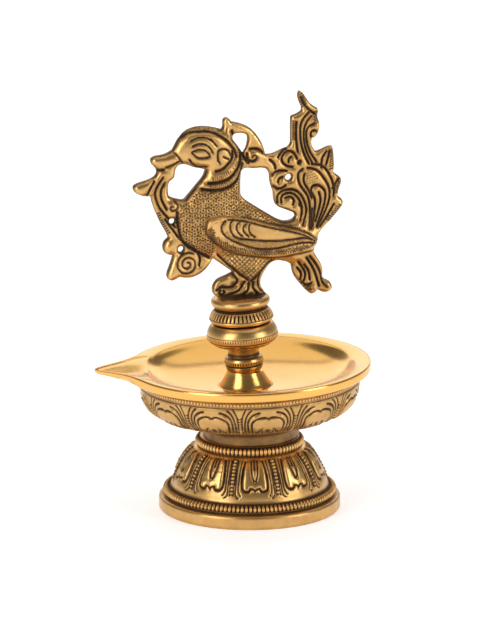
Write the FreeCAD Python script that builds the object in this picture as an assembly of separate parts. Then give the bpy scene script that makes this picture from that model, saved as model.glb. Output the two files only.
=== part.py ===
import FreeCAD, Part
import math
import os
from FreeCAD import Matrix, Placement, Rotation, Vector

os.makedirs("parts", exist_ok=True)

# ---------------------------------------------------------------- driving dimensions, mm and degrees
FOOT_R = 42.1            # outer radius of the pedestal's foot band
CROWN_Z = 34.2           # flat top of the pedestal, where the cup stands
CUP_RIM_Z = 64.2         # top of the cup, under the dish's flange
RIM_R = 56.1             # outer radius of the oil dish
RIM_Z = 68.6             # top of the oil dish
DISH_FLOOR_Z = 58.3      # flat middle of the dish, where the collar stands
SPOUT_TURN = 11.0        # the spout's turn away from the bird's plane
BOWL_TILT = 1.5          # the hand-fitted cup and dish dip towards the spout by this angle
BOWL_PIVOT_Z = 62.0
STACK_LEAN = 3.4         # the finial leans towards the spout by this angle
STACK_FOOT = (-2.0, 58.3)  # X and Z of the leaning axis where it meets the dish
COLLAR_TOP_Z = 65.2      # level face on which the finial turns
FERRULE_TOP_Z = 77.0
KNOB_TOP_Z = 88.2
NOTCHED_TOP_Z = 95.6
PLINTH_TOP_Z = 101.2
NOTCHES = 46             # slots round the notched ring

ROD_R = 3.0              # M6 stud
HOLE_R = 3.3             # clearance holes for the stud
ROD_TOP_Z = 101.0
ROD_END_Z = 19.5
CROWN_THICK = 3.8
WASHER_R, WASHER_T = 6.2, 1.6
SPRING_R, SPRING_T = 5.4, 1.6
NUT_FLATS, NUT_H, NUT_BORE_R = 10.0, 5.0, 3.05
SEAL_R, SEAL_T = 7.4, 1.4


# ---------------------------------------------------------------- helpers
def curve(points, plane="XZ"):
    """One edge through the points: straight for two, a smooth curve for more."""
    spots = [Vector(a, 0, b) if plane == "XZ" else Vector(a, b, 0) for a, b in points]
    if len(spots) == 2:
        return Part.makeLine(spots[0], spots[1])
    spline = Part.BSplineCurve()
    spline.interpolate(spots)
    return spline.toShape()


def closed_face(runs, plane="XZ"):
    """A flat face from runs of points; each run starts where the one before ends."""
    edges = [curve(run, plane) for run in runs]
    first, last = runs[0][0], runs[-1][-1]
    if first != last:
        edges.append(curve([last, first], plane))
    return Part.Face(Part.Wire(edges))


def lathe(runs):
    """A turned solid: runs of (radius, height) points, closed and spun about Z."""
    return closed_face(runs).revolve(Vector(0, 0, 0), Vector(0, 0, 1), 360)


def ring(r_in, r_out, z_low, z_high):
    """A plain washer-shaped solid."""
    outer = Part.makeCylinder(r_out, z_high - z_low, Vector(0, 0, z_low))
    return outer.cut(Part.makeCylinder(r_in, z_high - z_low, Vector(0, 0, z_low)))


def rod_hole(z_low, z_high, r=HOLE_R):
    """The upright hole on the tie rod's axis."""
    return Part.makeCylinder(r, z_high - z_low, Vector(0, 0, z_low))


def slab_below(z, size=200.0):
    """Everything under a level plane, for trimming a seat."""
    return Part.makeBox(size, size, size, Vector(-size / 2, -size / 2, z - size))


def slab_above(z, size=200.0):
    """Everything over a level plane, for trimming a top."""
    return Part.makeBox(size, size, size, Vector(-size / 2, -size / 2, z))


def tilted(shape):
    """Puts a shape drawn upright into the dish's slightly tipped frame."""
    out = shape.copy()
    out.rotate(Vector(0, 0, BOWL_PIVOT_Z), Vector(0, 1, 0), -BOWL_TILT)
    return out


def leaning(shape):
    """Puts a shape drawn upright onto the finial's leaning axis."""
    out = shape.copy()
    out.rotate(Vector(0, 0, STACK_FOOT[1]), Vector(0, 1, 0), -STACK_LEAN)
    out.translate(Vector(STACK_FOOT[0], 0, 0))
    return out


def ellipsoid(x, z, half_x, half_y, half_z, turn=0.0):
    """An ellipsoid centred in the bird's plane, turned about Y."""
    grow = Matrix()
    grow.scale(half_x, half_y, half_z)
    ball = Part.makeSphere(1.0).transformGeometry(grow)
    ball.rotate(Vector(0, 0, 0), Vector(0, 1, 0), turn)
    ball.translate(Vector(x, 0, z))
    return ball


def prism(runs, half):
    """The bird-plane outline, extruded evenly to both sides."""
    face = closed_face(runs)
    face.translate(Vector(0, -half, 0))
    return face.extrude(Vector(0, 2 * half, 0))


# ---------------------------------------------------------------- the lamp's lower half
def pedestal():
    """Hollow cast foot: polished band, bead row, domed skirt, bead ring and flat crown."""
    inside_z = CROWN_Z - CROWN_THICK
    return lathe([
        [(38.9, 0), (41.5, 0)],
        [(41.5, 0), (FOOT_R, 0.8)],
        [(FOOT_R, 0.8), (FOOT_R, 4.8)],
        [(FOOT_R, 4.8), (41.8, 5.8), (41.0, 6.3)],
        [(41.0, 6.3), (39.9, 6.4)],
        [(39.9, 6.4), (39.3, 6.9), (39.4, 7.6)],
        [(39.4, 7.6), (39.9, 8.5), (39.6, 9.5), (38.6, 10.1), (37.5, 10.2)],
        [(37.5, 10.2), (36.4, 11.4), (36.0, 13.0), (35.4, 15.0), (33.8, 19.0), (31.7, 23.0),
         (29.6, 26.2), (26.8, 28.8), (24.2, 29.9)],
        [(24.2, 29.9), (25.0, 30.9), (25.1, 32.2), (24.4, 33.4), (23.2, 33.8)],
        [(23.2, 33.8), (22.9, CROWN_Z)],
        [(22.9, CROWN_Z), (HOLE_R, CROWN_Z)],
        [(HOLE_R, CROWN_Z), (HOLE_R, inside_z)],
        [(HOLE_R, inside_z), (17.0, inside_z)],
        [(17.0, inside_z), (21.5, 28.2), (26.2, 24.8), (28.8, 21.0), (31.0, 17.0), (32.6, 13.0),
         (34.2, 9.8), (36.6, 6.6), (38.4, 3.0), (38.9, 0)],
    ])


def engraved_cup():
    """Hollow outer bowl on a short neck; the dish's flange rests on its rim."""
    body = tilted(lathe([
        [(19.4, 30.0), (22.3, 30.0)],
        [(22.3, 30.0), (22.3, 36.6)],
        [(22.3, 36.6), (22.8, 39.0), (24.6, 40.5), (28.0, 41.6)],
        [(28.0, 41.6), (36.0, 43.9), (40.0, 45.1), (43.0, 46.4), (46.0, 48.3), (48.5, 51.0),
         (50.0, 54.0), (50.9, 58.2), (51.1, CUP_RIM_Z)],
        [(51.1, CUP_RIM_Z), (48.8, CUP_RIM_Z)],
        [(48.8, CUP_RIM_Z), (48.5, 58.4), (47.6, 55.2), (45.6, 52.0), (42.4, 49.4), (38.6, 47.8),
         (30.0, 45.2), (22.0, 43.2)],
        [(22.0, 43.2), (0, 43.2)],
        [(0, 43.2), (0, 40.2)],
        [(0, 40.2), (18.6, 40.2)],
        [(18.6, 40.2), (19.4, 39.4)],
    ]))
    return body.cut(slab_below(CROWN_Z)).cut(rod_hole(30, 60))


def half_oval(x, half_width, depth, top_z):
    """A closed half-oval section across the spout, flat side up."""
    flat = Vector(x, half_width, top_z), Vector(x, -half_width, top_z)
    arc = Part.BSplineCurve()
    steps = [math.pi * i / 8 for i in range(9)]
    arc.interpolate([Vector(x, -half_width * math.cos(t), top_z - depth * math.sin(t)) for t in steps])
    return Part.Wire([arc.toShape(), Part.makeLine(*flat)])


def spout_blank():
    """The spout's outer body, drawn along -X."""
    sections = [(-46.0, 27.0, 7.0), (-50.0, 23.6, 6.6), (-54.0, 17.8, 6.0), (-58.5, 12.9, 5.2),
                (-63.0, 9.0, 4.3), (-67.0, 5.9, 3.4), (-70.0, 3.4, 2.5), (-71.6, 1.2, 1.2)]
    blank = Part.makeLoft([half_oval(x, w, d, RIM_Z - 0.2) for x, w, d in sections], True)
    return blank.cut(Part.makeCylinder(51.4, 30, Vector(0, 0, CUP_RIM_Z - 30)))


def spout_channel():
    """The oil channel, from inside the dish to just short of the tip."""
    sections = [(-43.0, 19.5, 3.0), (-49.0, 18.0, 3.1), (-54.0, 13.6, 3.1), (-58.5, 9.9, 3.0),
                (-63.0, 6.6, 2.7), (-67.0, 3.9, 2.0), (-69.6, 1.6, 1.0)]
    return Part.makeLoft([half_oval(x, w, d, RIM_Z + 0.2) for x, w, d in sections], True)


def oil_dish():
    """Polished shallow dish with a bevelled rim and a leaf-shaped spout."""
    outer = lathe([
        [(0, 56.0), (14.0, 56.0)],
        [(14.0, 56.0), (24.0, 56.5), (34.0, 57.6), (41.0, 59.4), (45.4, 61.4), (48.2, CUP_RIM_Z)],
        [(48.2, CUP_RIM_Z), (55.4, CUP_RIM_Z)],
        [(55.4, CUP_RIM_Z), (RIM_R, 65.1)],
        [(RIM_R, 65.1), (RIM_R, 67.7)],
        [(RIM_R, 67.7), (55.7, 68.4), (54.8, RIM_Z)],
        [(54.8, RIM_Z), (0, RIM_Z)],
        [(0, RIM_Z), (0, 56.0)],
    ])
    bowl = lathe([
        [(0, DISH_FLOOR_Z), (15.0, DISH_FLOOR_Z)],
        [(15.0, DISH_FLOOR_Z), (24.0, 58.7), (34.0, 59.9), (41.0, 61.9), (46.0, 64.8), (49.4, 67.9)],
        [(49.4, 67.9), (54.2, RIM_Z + 0.1)],
        [(54.2, RIM_Z + 0.1), (0, RIM_Z + 0.1)],
    ])
    blank, channel = spout_blank(), spout_channel()
    for shape in (blank, channel):
        shape.rotate(Vector(0, 0, 0), Vector(0, 0, 1), -SPOUT_TURN)
    dish = outer.fuse(blank).cut(bowl.fuse(channel))
    return tilted(dish).cut(rod_hole(45, 70))


def cone_collar():
    """Polished cone that clamps the dish; its underside holds the seal washer."""
    low, high = DISH_FLOOR_Z, COLLAR_TOP_Z
    cone = leaning(lathe([
        [(0, low - 3), (12.0, low - 3)],
        [(12.0, low - 3), (12.0, low + 0.2)],
        [(12.0, low + 0.2), (11.6, low + 0.7), (9.8, low + 3.7), (8.1, low + 7.0), (7.7, high + 2)],
        [(7.7, high + 2), (0, high + 2)],
    ]))
    seat = tilted(slab_below(low))
    pocket = tilted(Part.makeCylinder(SEAL_R + 0.1, SEAL_T, Vector(0, 0, low)))
    return cone.cut(seat).cut(slab_above(high)).cut(pocket).cut(rod_hole(40, 80))


def seal_washer():
    """Fibre washer in the collar's pocket; it keeps the oil out of the rod's hole."""
    disc = tilted(Part.makeCylinder(SEAL_R, SEAL_T, Vector(0, 0, DISH_FLOOR_Z)))
    return disc.cut(rod_hole(50, 70))


# ---------------------------------------------------------------- the finial's turned tiers
def ferrule():
    """Waisted tier with a raised middle band; its foot turns on the collar."""
    low, high = COLLAR_TOP_Z, FERRULE_TOP_Z
    tier = leaning(lathe([
        [(0, low - 3), (7.5, low - 3)],
        [(7.5, low - 3), (7.5, low + 0.1)],
        [(7.5, low + 0.1), (8.3, low + 1.2), (8.7, low + 2.8)],
        [(8.7, low + 2.8), (8.3, low + 3.2), (8.8, low + 3.6)],
        [(8.8, low + 3.6), (8.9, low + 5.2), (8.4, low + 6.7), (7.3, low + 7.4)],
        [(7.3, low + 7.4), (7.1, low + 8.2), (7.1, low + 9.2), (7.6, high)],
        [(7.6, high), (0, high)],
    ]))
    return tier.cut(slab_below(low)).cut(rod_hole(60, 90))


def lower_knob():
    """Rounded knob with an overhanging lower edge."""
    low, high = FERRULE_TOP_Z, KNOB_TOP_Z
    tier = leaning(lathe([
        [(0, low), (7.6, low)],
        [(7.6, low), (11.0, low + 0.5), (13.4, low + 1.4), (14.4, low + 2.2)],
        [(14.4, low + 2.2), (15.9, low + 3.4)],
        [(15.9, low + 3.4), (16.5, low + 4.6), (16.5, low + 6.2), (15.9, low + 8.4),
         (14.9, low + 10.0), (13.6, high)],
        [(13.6, high), (0, high)],
    ]))
    return tier.cut(rod_hole(60, 100))


def notched_ring():
    """Waisted ring with slots cut all round its shoulder."""
    low, high = KNOB_TOP_Z, NOTCHED_TOP_Z
    blank = lathe([
        [(0, low), (12.6, low)],
        [(12.6, low), (13.9, low + 0.9), (14.9, low + 2.2), (14.7, low + 3.4)],
        [(14.7, low + 3.4), (13.7, low + 5.2), (12.7, low + 6.4), (11.7, high)],
        [(11.7, high), (0, high)],
    ])
    cutters = []
    for i in range(NOTCHES):
        slot = Part.makeBox(2.2, 0.75, 3.6, Vector(13.35, -0.375, low + 2.9))
        slot.rotate(Vector(13.35, 0, low + 2.9), Vector(0, 1, 0), -28)
        slot.rotate(Vector(0, 0, 0), Vector(0, 0, 1), 360.0 * i / NOTCHES)
        cutters.append(slot)
    return leaning(blank.cut(cutters)).cut(rod_hole(60, 110))


# ---------------------------------------------------------------- the bird, drawn in the XZ plane
OUTLINE = [
    [(-14.0, 100.4), (-17.2, 102.2), (-17.8, 104.2), (-17.4, 106.6), (-15.3, 109.2), (-11.5, 110.8),
     (-8.3, 112.3)],
    [(-8.3, 112.3), (-17.7, 119.2)],
    [(-17.7, 119.2), (-20.0, 115.6), (-24.0, 112.2), (-29.0, 110.7), (-33.5, 111.4)],
    [(-33.5, 111.4), (-35.2, 110.5), (-37.6, 110.0), (-39.1, 111.2), (-38.4, 115.8), (-36.4, 122.0)],
    [(-36.4, 122.0), (-38.5, 122.2), (-40.4, 123.4), (-41.2, 125.8), (-40.6, 128.2), (-38.6, 130.2)],
    [(-38.6, 130.2), (-39.8, 132.8), (-42.0, 136.8), (-44.2, 141.7), (-46.1, 146.8), (-46.8, 150.0)],
    [(-46.8, 150.0), (-49.6, 150.1), (-52.4, 151.0), (-54.6, 152.8), (-54.9, 154.8), (-52.9, 156.2),
     (-49.8, 157.1), (-46.8, 158.1), (-44.8, 159.2)],
    [(-44.8, 159.2), (-44.0, 160.6), (-44.2, 162.2), (-45.0, 163.6)],
    [(-45.0, 163.6), (-46.5, 165.3), (-46.6, 167.2), (-45.2, 168.3), (-42.0, 168.8), (-39.2, 169.5),
     (-36.5, 170.9)],
    [(-36.5, 170.9), (-34.6, 174.4), (-32.4, 177.8), (-29.6, 179.9), (-26.0, 181.0), (-22.0, 181.2),
     (-17.1, 180.4), (-13.4, 179.3)],
    [(-13.4, 179.3), (-12.8, 180.8), (-12.9, 182.6), (-12.2, 184.3), (-11.2, 184.8), (-9.9, 184.1),
     (-8.8, 182.7)],
    [(-8.8, 182.7), (-5.5, 181.9), (-2.6, 180.8), (0.2, 179.1), (2.6, 176.6), (4.5, 173.9),
     (5.9, 171.1), (7.3, 166.5)],
    [(7.3, 166.5), (10.2, 166.7), (13.1, 167.7), (16.0, 169.0), (18.4, 169.9), (19.2, 171.2)],
    [(19.2, 171.2), (19.2, 182.6)],
    [(19.2, 182.6), (19.6, 183.7), (20.6, 184.2), (22.2, 184.7), (24.3, 186.0)],
    [(24.3, 186.0), (24.2, 188.0), (23.3, 190.0), (22.7, 192.0), (22.6, 194.0), (23.4, 195.4)],
    [(23.4, 195.4), (24.7, 194.5), (25.9, 192.9), (27.1, 191.1), (28.4, 189.3), (30.2, 187.9),
     (31.8, 187.0)],
    [(31.8, 187.0), (32.2, 185.2), (31.9, 183.3), (32.6, 180.8), (32.9, 178.0), (32.4, 175.5),
     (31.2, 173.8), (29.3, 172.8)],
    [(29.3, 172.8), (29.1, 170.6), (29.9, 168.3), (31.2, 166.6)],
    [(31.2, 166.6), (33.0, 167.1), (35.2, 168.0), (37.6, 168.8), (39.0, 168.8)],
    [(39.0, 168.8), (39.5, 166.4), (39.8, 162.7), (39.9, 159.4), (39.5, 156.5)],
    [(39.5, 156.5), (40.9, 155.4), (42.8, 154.0), (43.4, 152.2), (42.7, 149.8), (42.0, 147.4),
     (41.8, 145.1)],
    [(41.8, 145.1), (43.1, 144.1), (44.1, 142.7), (44.2, 141.3), (43.3, 139.8), (40.9, 136.9),
     (37.9, 133.6), (35.2, 131.0), (33.3, 128.8), (32.3, 127.0)],
    [(32.3, 127.0), (32.0, 124.4), (30.8, 121.8), (30.2, 119.6)],
    [(30.2, 119.6), (32.1, 116.5), (33.8, 113.6), (34.6, 110.5), (34.5, 107.6)],
    [(34.5, 107.6), (35.5, 106.3), (37.2, 105.5), (38.7, 103.8), (39.2, 102.0), (38.3, 100.6),
     (36.0, 99.9), (33.8, 100.4), (32.3, 101.4)],
    [(32.3, 101.4), (30.8, 100.0), (29.1, 99.6), (27.2, 100.9), (25.3, 103.0), (23.6, 105.0),
     (21.9, 107.2), (20.5, 109.8), (19.9, 112.2), (19.5, 114.2)],
    [(19.5, 114.2), (17.8, 115.3), (15.4, 116.1), (12.4, 116.5), (9.8, 115.5), (7.8, 113.4),
     (6.1, 110.8), (5.0, 108.0), (5.0, 105.4), (6.2, 103.0), (7.8, 100.6)],
]
NECK_GAP = [
    [(-4.3, 159.3), (-3.2, 160.5), (-1.0, 160.7), (1.6, 160.3), (5.1, 160.4), (7.6, 159.8)],
    [(7.6, 159.8), (8.8, 158.2), (9.3, 155.2), (9.9, 151.8), (11.0, 149.0)],
    [(11.0, 149.0), (11.1, 146.3), (11.7, 143.6), (13.2, 141.8), (15.7, 140.6), (18.8, 139.3),
     (20.9, 138.1), (21.4, 136.8), (20.4, 135.4), (18.4, 134.7), (16.1, 134.8), (13.0, 135.9),
     (9.6, 138.0), (5.8, 140.4), (2.6, 142.5), (-0.7, 144.7), (-3.0, 146.5), (-4.3, 148.3),
     (-4.7, 151.0), (-4.7, 155.0), (-4.3, 159.3)],
]
CREST_GAP = [
    [(-3.5, 167.9), (-5.1, 170.3), (-6.9, 172.8), (-8.2, 175.0), (-7.5, 176.6), (-5.6, 177.1),
     (-3.3, 176.9), (-1.6, 176.1), (-1.1, 174.4), (-1.4, 172.0), (-2.2, 169.6), (-3.5, 167.9)],
]
BEAK_GAP = [
    [(-35.2, 161.8), (-34.2, 163.4), (-31.5, 164.1), (-28.9, 163.4), (-26.5, 162.4), (-23.6, 161.8),
     (-21.0, 161.0)],
    [(-21.0, 161.0), (-22.0, 158.0), (-23.6, 155.9), (-25.4, 153.8), (-28.0, 150.7), (-30.9, 147.5)],
    [(-30.9, 147.5), (-34.1, 147.9), (-36.6, 148.8), (-38.3, 149.6)],
    [(-38.3, 149.6), (-38.8, 152.0), (-38.6, 154.8), (-37.9, 156.6), (-36.3, 157.7), (-35.5, 159.7),
     (-35.2, 161.8)],
]
WING = [
    [(31.8, 124.4), (29.6, 121.6), (25.5, 120.5), (19.5, 119.7), (13.0, 119.2), (7.0, 119.3),
     (0.0, 120.3), (-5.0, 121.2), (-9.8, 122.7), (-14.5, 125.2), (-18.5, 128.4), (-21.2, 131.7),
     (-22.2, 135.4), (-20.8, 138.8)],
    [(-20.8, 138.8), (-17.0, 139.9), (-11.8, 139.8), (-4.1, 138.5), (3.5, 136.3), (11.1, 134.0),
     (18.8, 132.1), (23.6, 130.6), (28.0, 128.2), (31.8, 124.4)],
]
ROUND_HOLES = [(18.2, 155.2, 1.5), (-36.9, 137.8, 1.3), (-32.8, 124.4, 1.4)]


def bird_blank():
    """The uncut casting: a flat slab with a rounder body, neck, head, thigh and feet."""
    bumps = [
        Part.makeBox(110, 4.8, 110, Vector(-60, -2.4, 90)),
        Part.makeBox(29, 6.4, 60, Vector(-60, -3.2, 104)),
        Part.makeBox(32, 10.0, 14, Vector(-22, -5.0, 97)),
        ellipsoid(-21.0, 171.0, 17.5, 5.8, 12.5),
        ellipsoid(-38.0, 167.0, 10.5, 3.6, 4.4, 8),
        ellipsoid(-12.5, 158.0, 13.0, 5.6, 15.0),
        ellipsoid(-22.0, 140.0, 17.0, 6.4, 20.0, 12),
        ellipsoid(4.0, 129.5, 33.0, 6.4, 15.0, 14),
        ellipsoid(-1.0, 112.0, 13.0, 5.6, 14.0),
        prism(WING, 9.0).common(ellipsoid(4.0, 130.0, 44.0, 7.8, 22.0)),
    ]
    return bumps[0].fuse(bumps[1:])


def plinth():
    """Round plinth under the feet, turned on the finial's leaning axis."""
    low, high = NOTCHED_TOP_Z, PLINTH_TOP_Z
    return leaning(lathe([
        [(0, low), (11.0, low)],
        [(11.0, low), (12.4, low + 0.7), (13.5, low + 2.0), (13.6, low + 3.2), (12.9, low + 4.4),
         (11.6, low + 5.1)],
        [(11.6, low + 5.1), (10.6, high)],
        [(10.6, high), (0, high)],
    ]))


def bird():
    """Bird casting: silhouette cut from the rounded blank, standing on its plinth."""
    shape = prism(OUTLINE, 10.0)
    for gap in (NECK_GAP, CREST_GAP, BEAK_GAP):
        shape = shape.cut(prism(gap, 12.0))
    for x, z, r in ROUND_HOLES:
        shape = shape.cut(Part.makeCylinder(r, 24, Vector(x, -12, z), Vector(0, 1, 0)))
    shape = shape.common(bird_blank()).fuse(plinth())
    return shape.cut(rod_hole(90, ROD_TOP_Z, ROD_R))


# ---------------------------------------------------------------- the fastening
def tie_rod():
    """M6 stud cast into the bird's plinth, plain at the thread's outer radius."""
    rod = Part.makeCylinder(ROD_R, ROD_TOP_Z - ROD_END_Z, Vector(0, 0, ROD_END_Z))
    low_edge = [e for e in rod.Edges if abs(e.BoundBox.ZMax - ROD_END_Z) < 0.01]
    return rod.makeChamfer(0.8, low_edge)


def plain_washer():
    """Flat washer against the crown's underside."""
    top = CROWN_Z - CROWN_THICK
    return ring(HOLE_R, WASHER_R, top - WASHER_T, top)


def spring_washer():
    """Split ring under the plain washer."""
    top = CROWN_Z - CROWN_THICK - WASHER_T
    split = Part.makeBox(4, 1.0, SPRING_T, Vector(2.5, -0.5, top - SPRING_T))
    return ring(HOLE_R, SPRING_R, top - SPRING_T, top).cut(split)


def hex_nut():
    """M6 nut with rounded corners."""
    top = CROWN_Z - CROWN_THICK - WASHER_T - SPRING_T
    corner_r = NUT_FLATS / math.sqrt(3)
    steps = [math.radians(60 * i) for i in range(7)]
    outline = Part.makePolygon([Vector(corner_r * math.cos(t), corner_r * math.sin(t), 0) for t in steps])
    nut = Part.Face(outline).extrude(Vector(0, 0, NUT_H))
    nut.translate(Vector(0, 0, top - NUT_H))
    turned = lathe([
        [(0, top - NUT_H), (NUT_FLATS * 0.48, top - NUT_H)],
        [(NUT_FLATS * 0.48, top - NUT_H), (corner_r, top - NUT_H + 0.7)],
        [(corner_r, top - NUT_H + 0.7), (corner_r, top - 0.7)],
        [(corner_r, top - 0.7), (NUT_FLATS * 0.48, top)],
        [(NUT_FLATS * 0.48, top), (0, top)],
    ])
    return nut.common(turned).cut(rod_hole(top - NUT_H, top, NUT_BORE_R))


PARTS = {
    "pedestal": pedestal,
    "engraved_cup": engraved_cup,
    "oil_dish": oil_dish,
    "cone_collar": cone_collar,
    "seal_washer": seal_washer,
    "ferrule": ferrule,
    "lower_knob": lower_knob,
    "notched_ring": notched_ring,
    "bird": bird,
    "tie_rod": tie_rod,
    "plain_washer": plain_washer,
    "spring_washer": spring_washer,
    "hex_nut": hex_nut,
}

for name, build in PARTS.items():
    made = build().removeSplitter()
    solids = made.Solids
    print(name, "solids", len(solids), "valid", made.isValid(), "volume", round(made.Volume, 1), made.BoundBox)
    solids[0].exportStep("parts/%s.step" % name)
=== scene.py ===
"""Looks of a brass standing oil lamp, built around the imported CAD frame.

Lengths are millimetres until a mesh is made. Z is up, and the flat bird lies in the XZ plane with
its beak towards -X.
"""

import math

import bpy
import numpy as np
import openvdb as vdb
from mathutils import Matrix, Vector


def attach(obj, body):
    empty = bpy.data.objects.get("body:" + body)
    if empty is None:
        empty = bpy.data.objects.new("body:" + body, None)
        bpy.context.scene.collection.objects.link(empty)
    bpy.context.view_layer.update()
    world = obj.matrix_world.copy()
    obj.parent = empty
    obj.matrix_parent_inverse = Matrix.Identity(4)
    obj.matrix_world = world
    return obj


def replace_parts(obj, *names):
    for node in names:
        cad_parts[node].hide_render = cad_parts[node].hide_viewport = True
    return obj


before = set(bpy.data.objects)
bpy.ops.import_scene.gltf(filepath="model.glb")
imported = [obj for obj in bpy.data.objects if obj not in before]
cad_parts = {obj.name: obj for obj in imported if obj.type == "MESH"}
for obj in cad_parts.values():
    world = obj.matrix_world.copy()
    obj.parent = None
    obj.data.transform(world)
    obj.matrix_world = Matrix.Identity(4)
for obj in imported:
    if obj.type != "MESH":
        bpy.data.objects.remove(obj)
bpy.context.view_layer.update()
MM = 0.001

# ---------------------------------------------------------------- driving dimensions, as in the CAD
CROWN_Z = 34.2
CUP_RIM_Z = 64.2
RIM_Z = 68.6
DISH_FLOOR_Z = 58.3
SPOUT_TURN = 11.0
BOWL_TILT, BOWL_PIVOT_Z = 1.5, 62.0
STACK_LEAN, STACK_FOOT_X, STACK_FOOT_Z = 3.4, -2.0, 58.3
COLLAR_TOP_Z = 65.2
FERRULE_TOP_Z = 77.0
KNOB_TOP_Z = 88.2
NOTCHED_TOP_Z = 95.6
PLINTH_TOP_Z = 101.2
HOLE_R = 3.4

FOOT_PETALS, FOOT_PETAL_AT = 10, -100.5     # count, and the angle of one petal's middle in degrees
CUP_PETALS, CUP_PETAL_AT = 12, -95.3
FOOT_BEADS, CROWN_BEADS, RIM_BEADS = 126, 80, 200
FERRULE_NOTCHES, KNOB_NOTCHES, RING_SLOTS = 44, 84, 46
rng = np.random.default_rng(7)


# ---------------------------------------------------------------- curves and distances
def smooth_curve(points, step):
    """Points about one step apart on a natural spline; two given points make a straight run."""
    p = np.array(points, float)
    knots = np.concatenate([[0], np.cumsum(np.linalg.norm(np.diff(p, axis=0), axis=1))])
    count = max(2, int(math.ceil(knots[-1] / step)) + 1)
    t = np.linspace(0, knots[-1], count)
    if len(p) == 2:
        return np.column_stack([np.interp(t, knots, p[:, k]) for k in range(p.shape[1])])
    h = np.diff(knots)
    n = len(p)
    system, right = np.eye(n), np.zeros_like(p)
    for i in range(1, n - 1):
        system[i, i - 1:i + 2] = h[i - 1], 2 * (h[i - 1] + h[i]), h[i]
        right[i] = 6 * ((p[i + 1] - p[i]) / h[i] - (p[i] - p[i - 1]) / h[i - 1])
    bend = np.linalg.solve(system, right)
    i = np.clip(np.searchsorted(knots, t, side="right") - 1, 0, n - 2)
    a = ((knots[i + 1] - t) / h[i])[:, None]
    b = ((t - knots[i]) / h[i])[:, None]
    bow = (a ** 3 - a) * bend[i] + (b ** 3 - b) * bend[i + 1]
    return a * p[i] + b * p[i + 1] + bow * (h[i] ** 2)[:, None] / 6


def smooth_step(low, high, value):
    t = np.clip((value - low) / (high - low), 0, 1)
    return t * t * (3 - 2 * t)


def section(runs):
    """A closed section from (points, step) runs, each starting where the one before ends."""
    return np.concatenate([smooth_curve(points, step)[:-1] for points, step in runs])


def line_distance(u, v, lines, step=0.5):
    """Distance from each (u, v) to the nearest of the lines."""
    out = np.full(u.shape, 99.0)
    for line in lines:
        pts = smooth_curve(line, step)
        for (u0, v0), (u1, v1) in zip(pts[:-1], pts[1:]):
            du, dv = u1 - u0, v1 - v0
            t = np.clip(((u - u0) * du + (v - v0) * dv) / (du * du + dv * dv + 1e-9), 0, 1)
            np.minimum(out, np.hypot(u - u0 - t * du, v - v0 - t * dv), out=out)
    return out


# ---------------------------------------------------------------- placing and meshing
def tipped(points, degrees, pivot_z, shift_x=0.0):
    """Tips points towards -X about a level axis, as the CAD tips the dish and the stack."""
    c, s = math.cos(math.radians(degrees)), math.sin(math.radians(degrees))
    x, z = points[:, 0], points[:, 2] - pivot_z
    return np.column_stack([x * c - z * s + shift_x, points[:, 1], x * s + z * c + pivot_z])


def as_bowl(points):
    return tipped(points, BOWL_TILT, BOWL_PIVOT_Z)


def as_stack(points):
    return tipped(points, STACK_LEAN, STACK_FOOT_Z, STACK_FOOT_X)


def upright(points):
    return points


def make_piece(name, verts, faces, material, body, patina_and_shade=None):
    """A smooth mesh object from millimetre points, riding on a CAD body."""
    mesh = bpy.data.meshes.new(name)
    mesh.from_pydata((np.asarray(verts) * MM).tolist(), [], [list(map(int, f)) for f in faces])
    mesh.polygons.foreach_set("use_smooth", np.ones(len(mesh.polygons), bool))
    if patina_and_shade is None:
        patina_and_shade = np.zeros(len(verts))
    # this attribute holds darkness: real patina, plus painted shade on the cup and round the cone's foot
    mesh.attributes.new("patina_and_shade", "FLOAT", "POINT").data.foreach_set("value", np.asarray(patina_and_shade, np.float32))
    mesh.materials.append(material)
    mesh.update()
    obj = bpy.data.objects.new(name, mesh)
    bpy.context.scene.collection.objects.link(obj)
    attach(obj, body)
    return obj


def grid_faces(rows, columns):
    """Quads of a grid that closes on itself both ways."""
    i = np.arange(rows)[:, None]
    j = np.arange(columns)[None, :]
    i2, j2 = (i + 1) % rows, (j + 1) % columns
    quads = np.stack([i * columns + j, i * columns + j2, i2 * columns + j2, i2 * columns + j], -1)
    return quads.reshape(-1, 4)


def turned(name, profile, columns, material, body, relief=None, place=upright):
    """A closed turned piece. relief(theta, profile) gives its outward push and darkness on the grid: real
    patina, and on the cup also painted shade.
    """
    theta = np.linspace(0, 2 * np.pi, columns, endpoint=False)
    run = np.roll(profile, -1, 0) - np.roll(profile, 1, 0)
    normal = np.column_stack([run[:, 1], -run[:, 0]])
    normal /= np.maximum(np.linalg.norm(normal, axis=1), 1e-9)[:, None]
    push, patina_and_shade = np.zeros((len(profile), columns)), np.zeros((len(profile), columns))
    if relief:
        push, patina_and_shade = relief(theta, profile)
    r = profile[:, :1] + push * normal[:, :1]
    z = profile[:, 1:] + push * normal[:, 1:]
    verts = np.stack([r * np.cos(theta), r * np.sin(theta), z], -1).reshape(-1, 3)
    return make_piece(name, place(verts), grid_faces(len(profile), columns), material, body, patina_and_shade.ravel())


# ---------------------------------------------------------------- materials
def new_material(name):
    material = bpy.data.materials.new(name)
    material.use_nodes = True
    nodes = material.node_tree.nodes
    return material, nodes, material.node_tree.links, nodes["Principled BSDF"]


def add_node(nodes, kind, **values):
    node = nodes.new(kind)
    for key, value in values.items():
        if key in node.inputs:
            node.inputs[key].default_value = value
        else:
            setattr(node, key, value)
    return node


def set_stops(ramp, colours):
    """Fills a colour ramp with (position, colour) stops."""
    stops = ramp.color_ramp.elements
    for _ in range(len(colours) - len(stops)):
        stops.new(0.5)
    for stop, (at, colour) in zip(stops, colours):
        stop.position = at
        stop.color = (*colour, 1)


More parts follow.
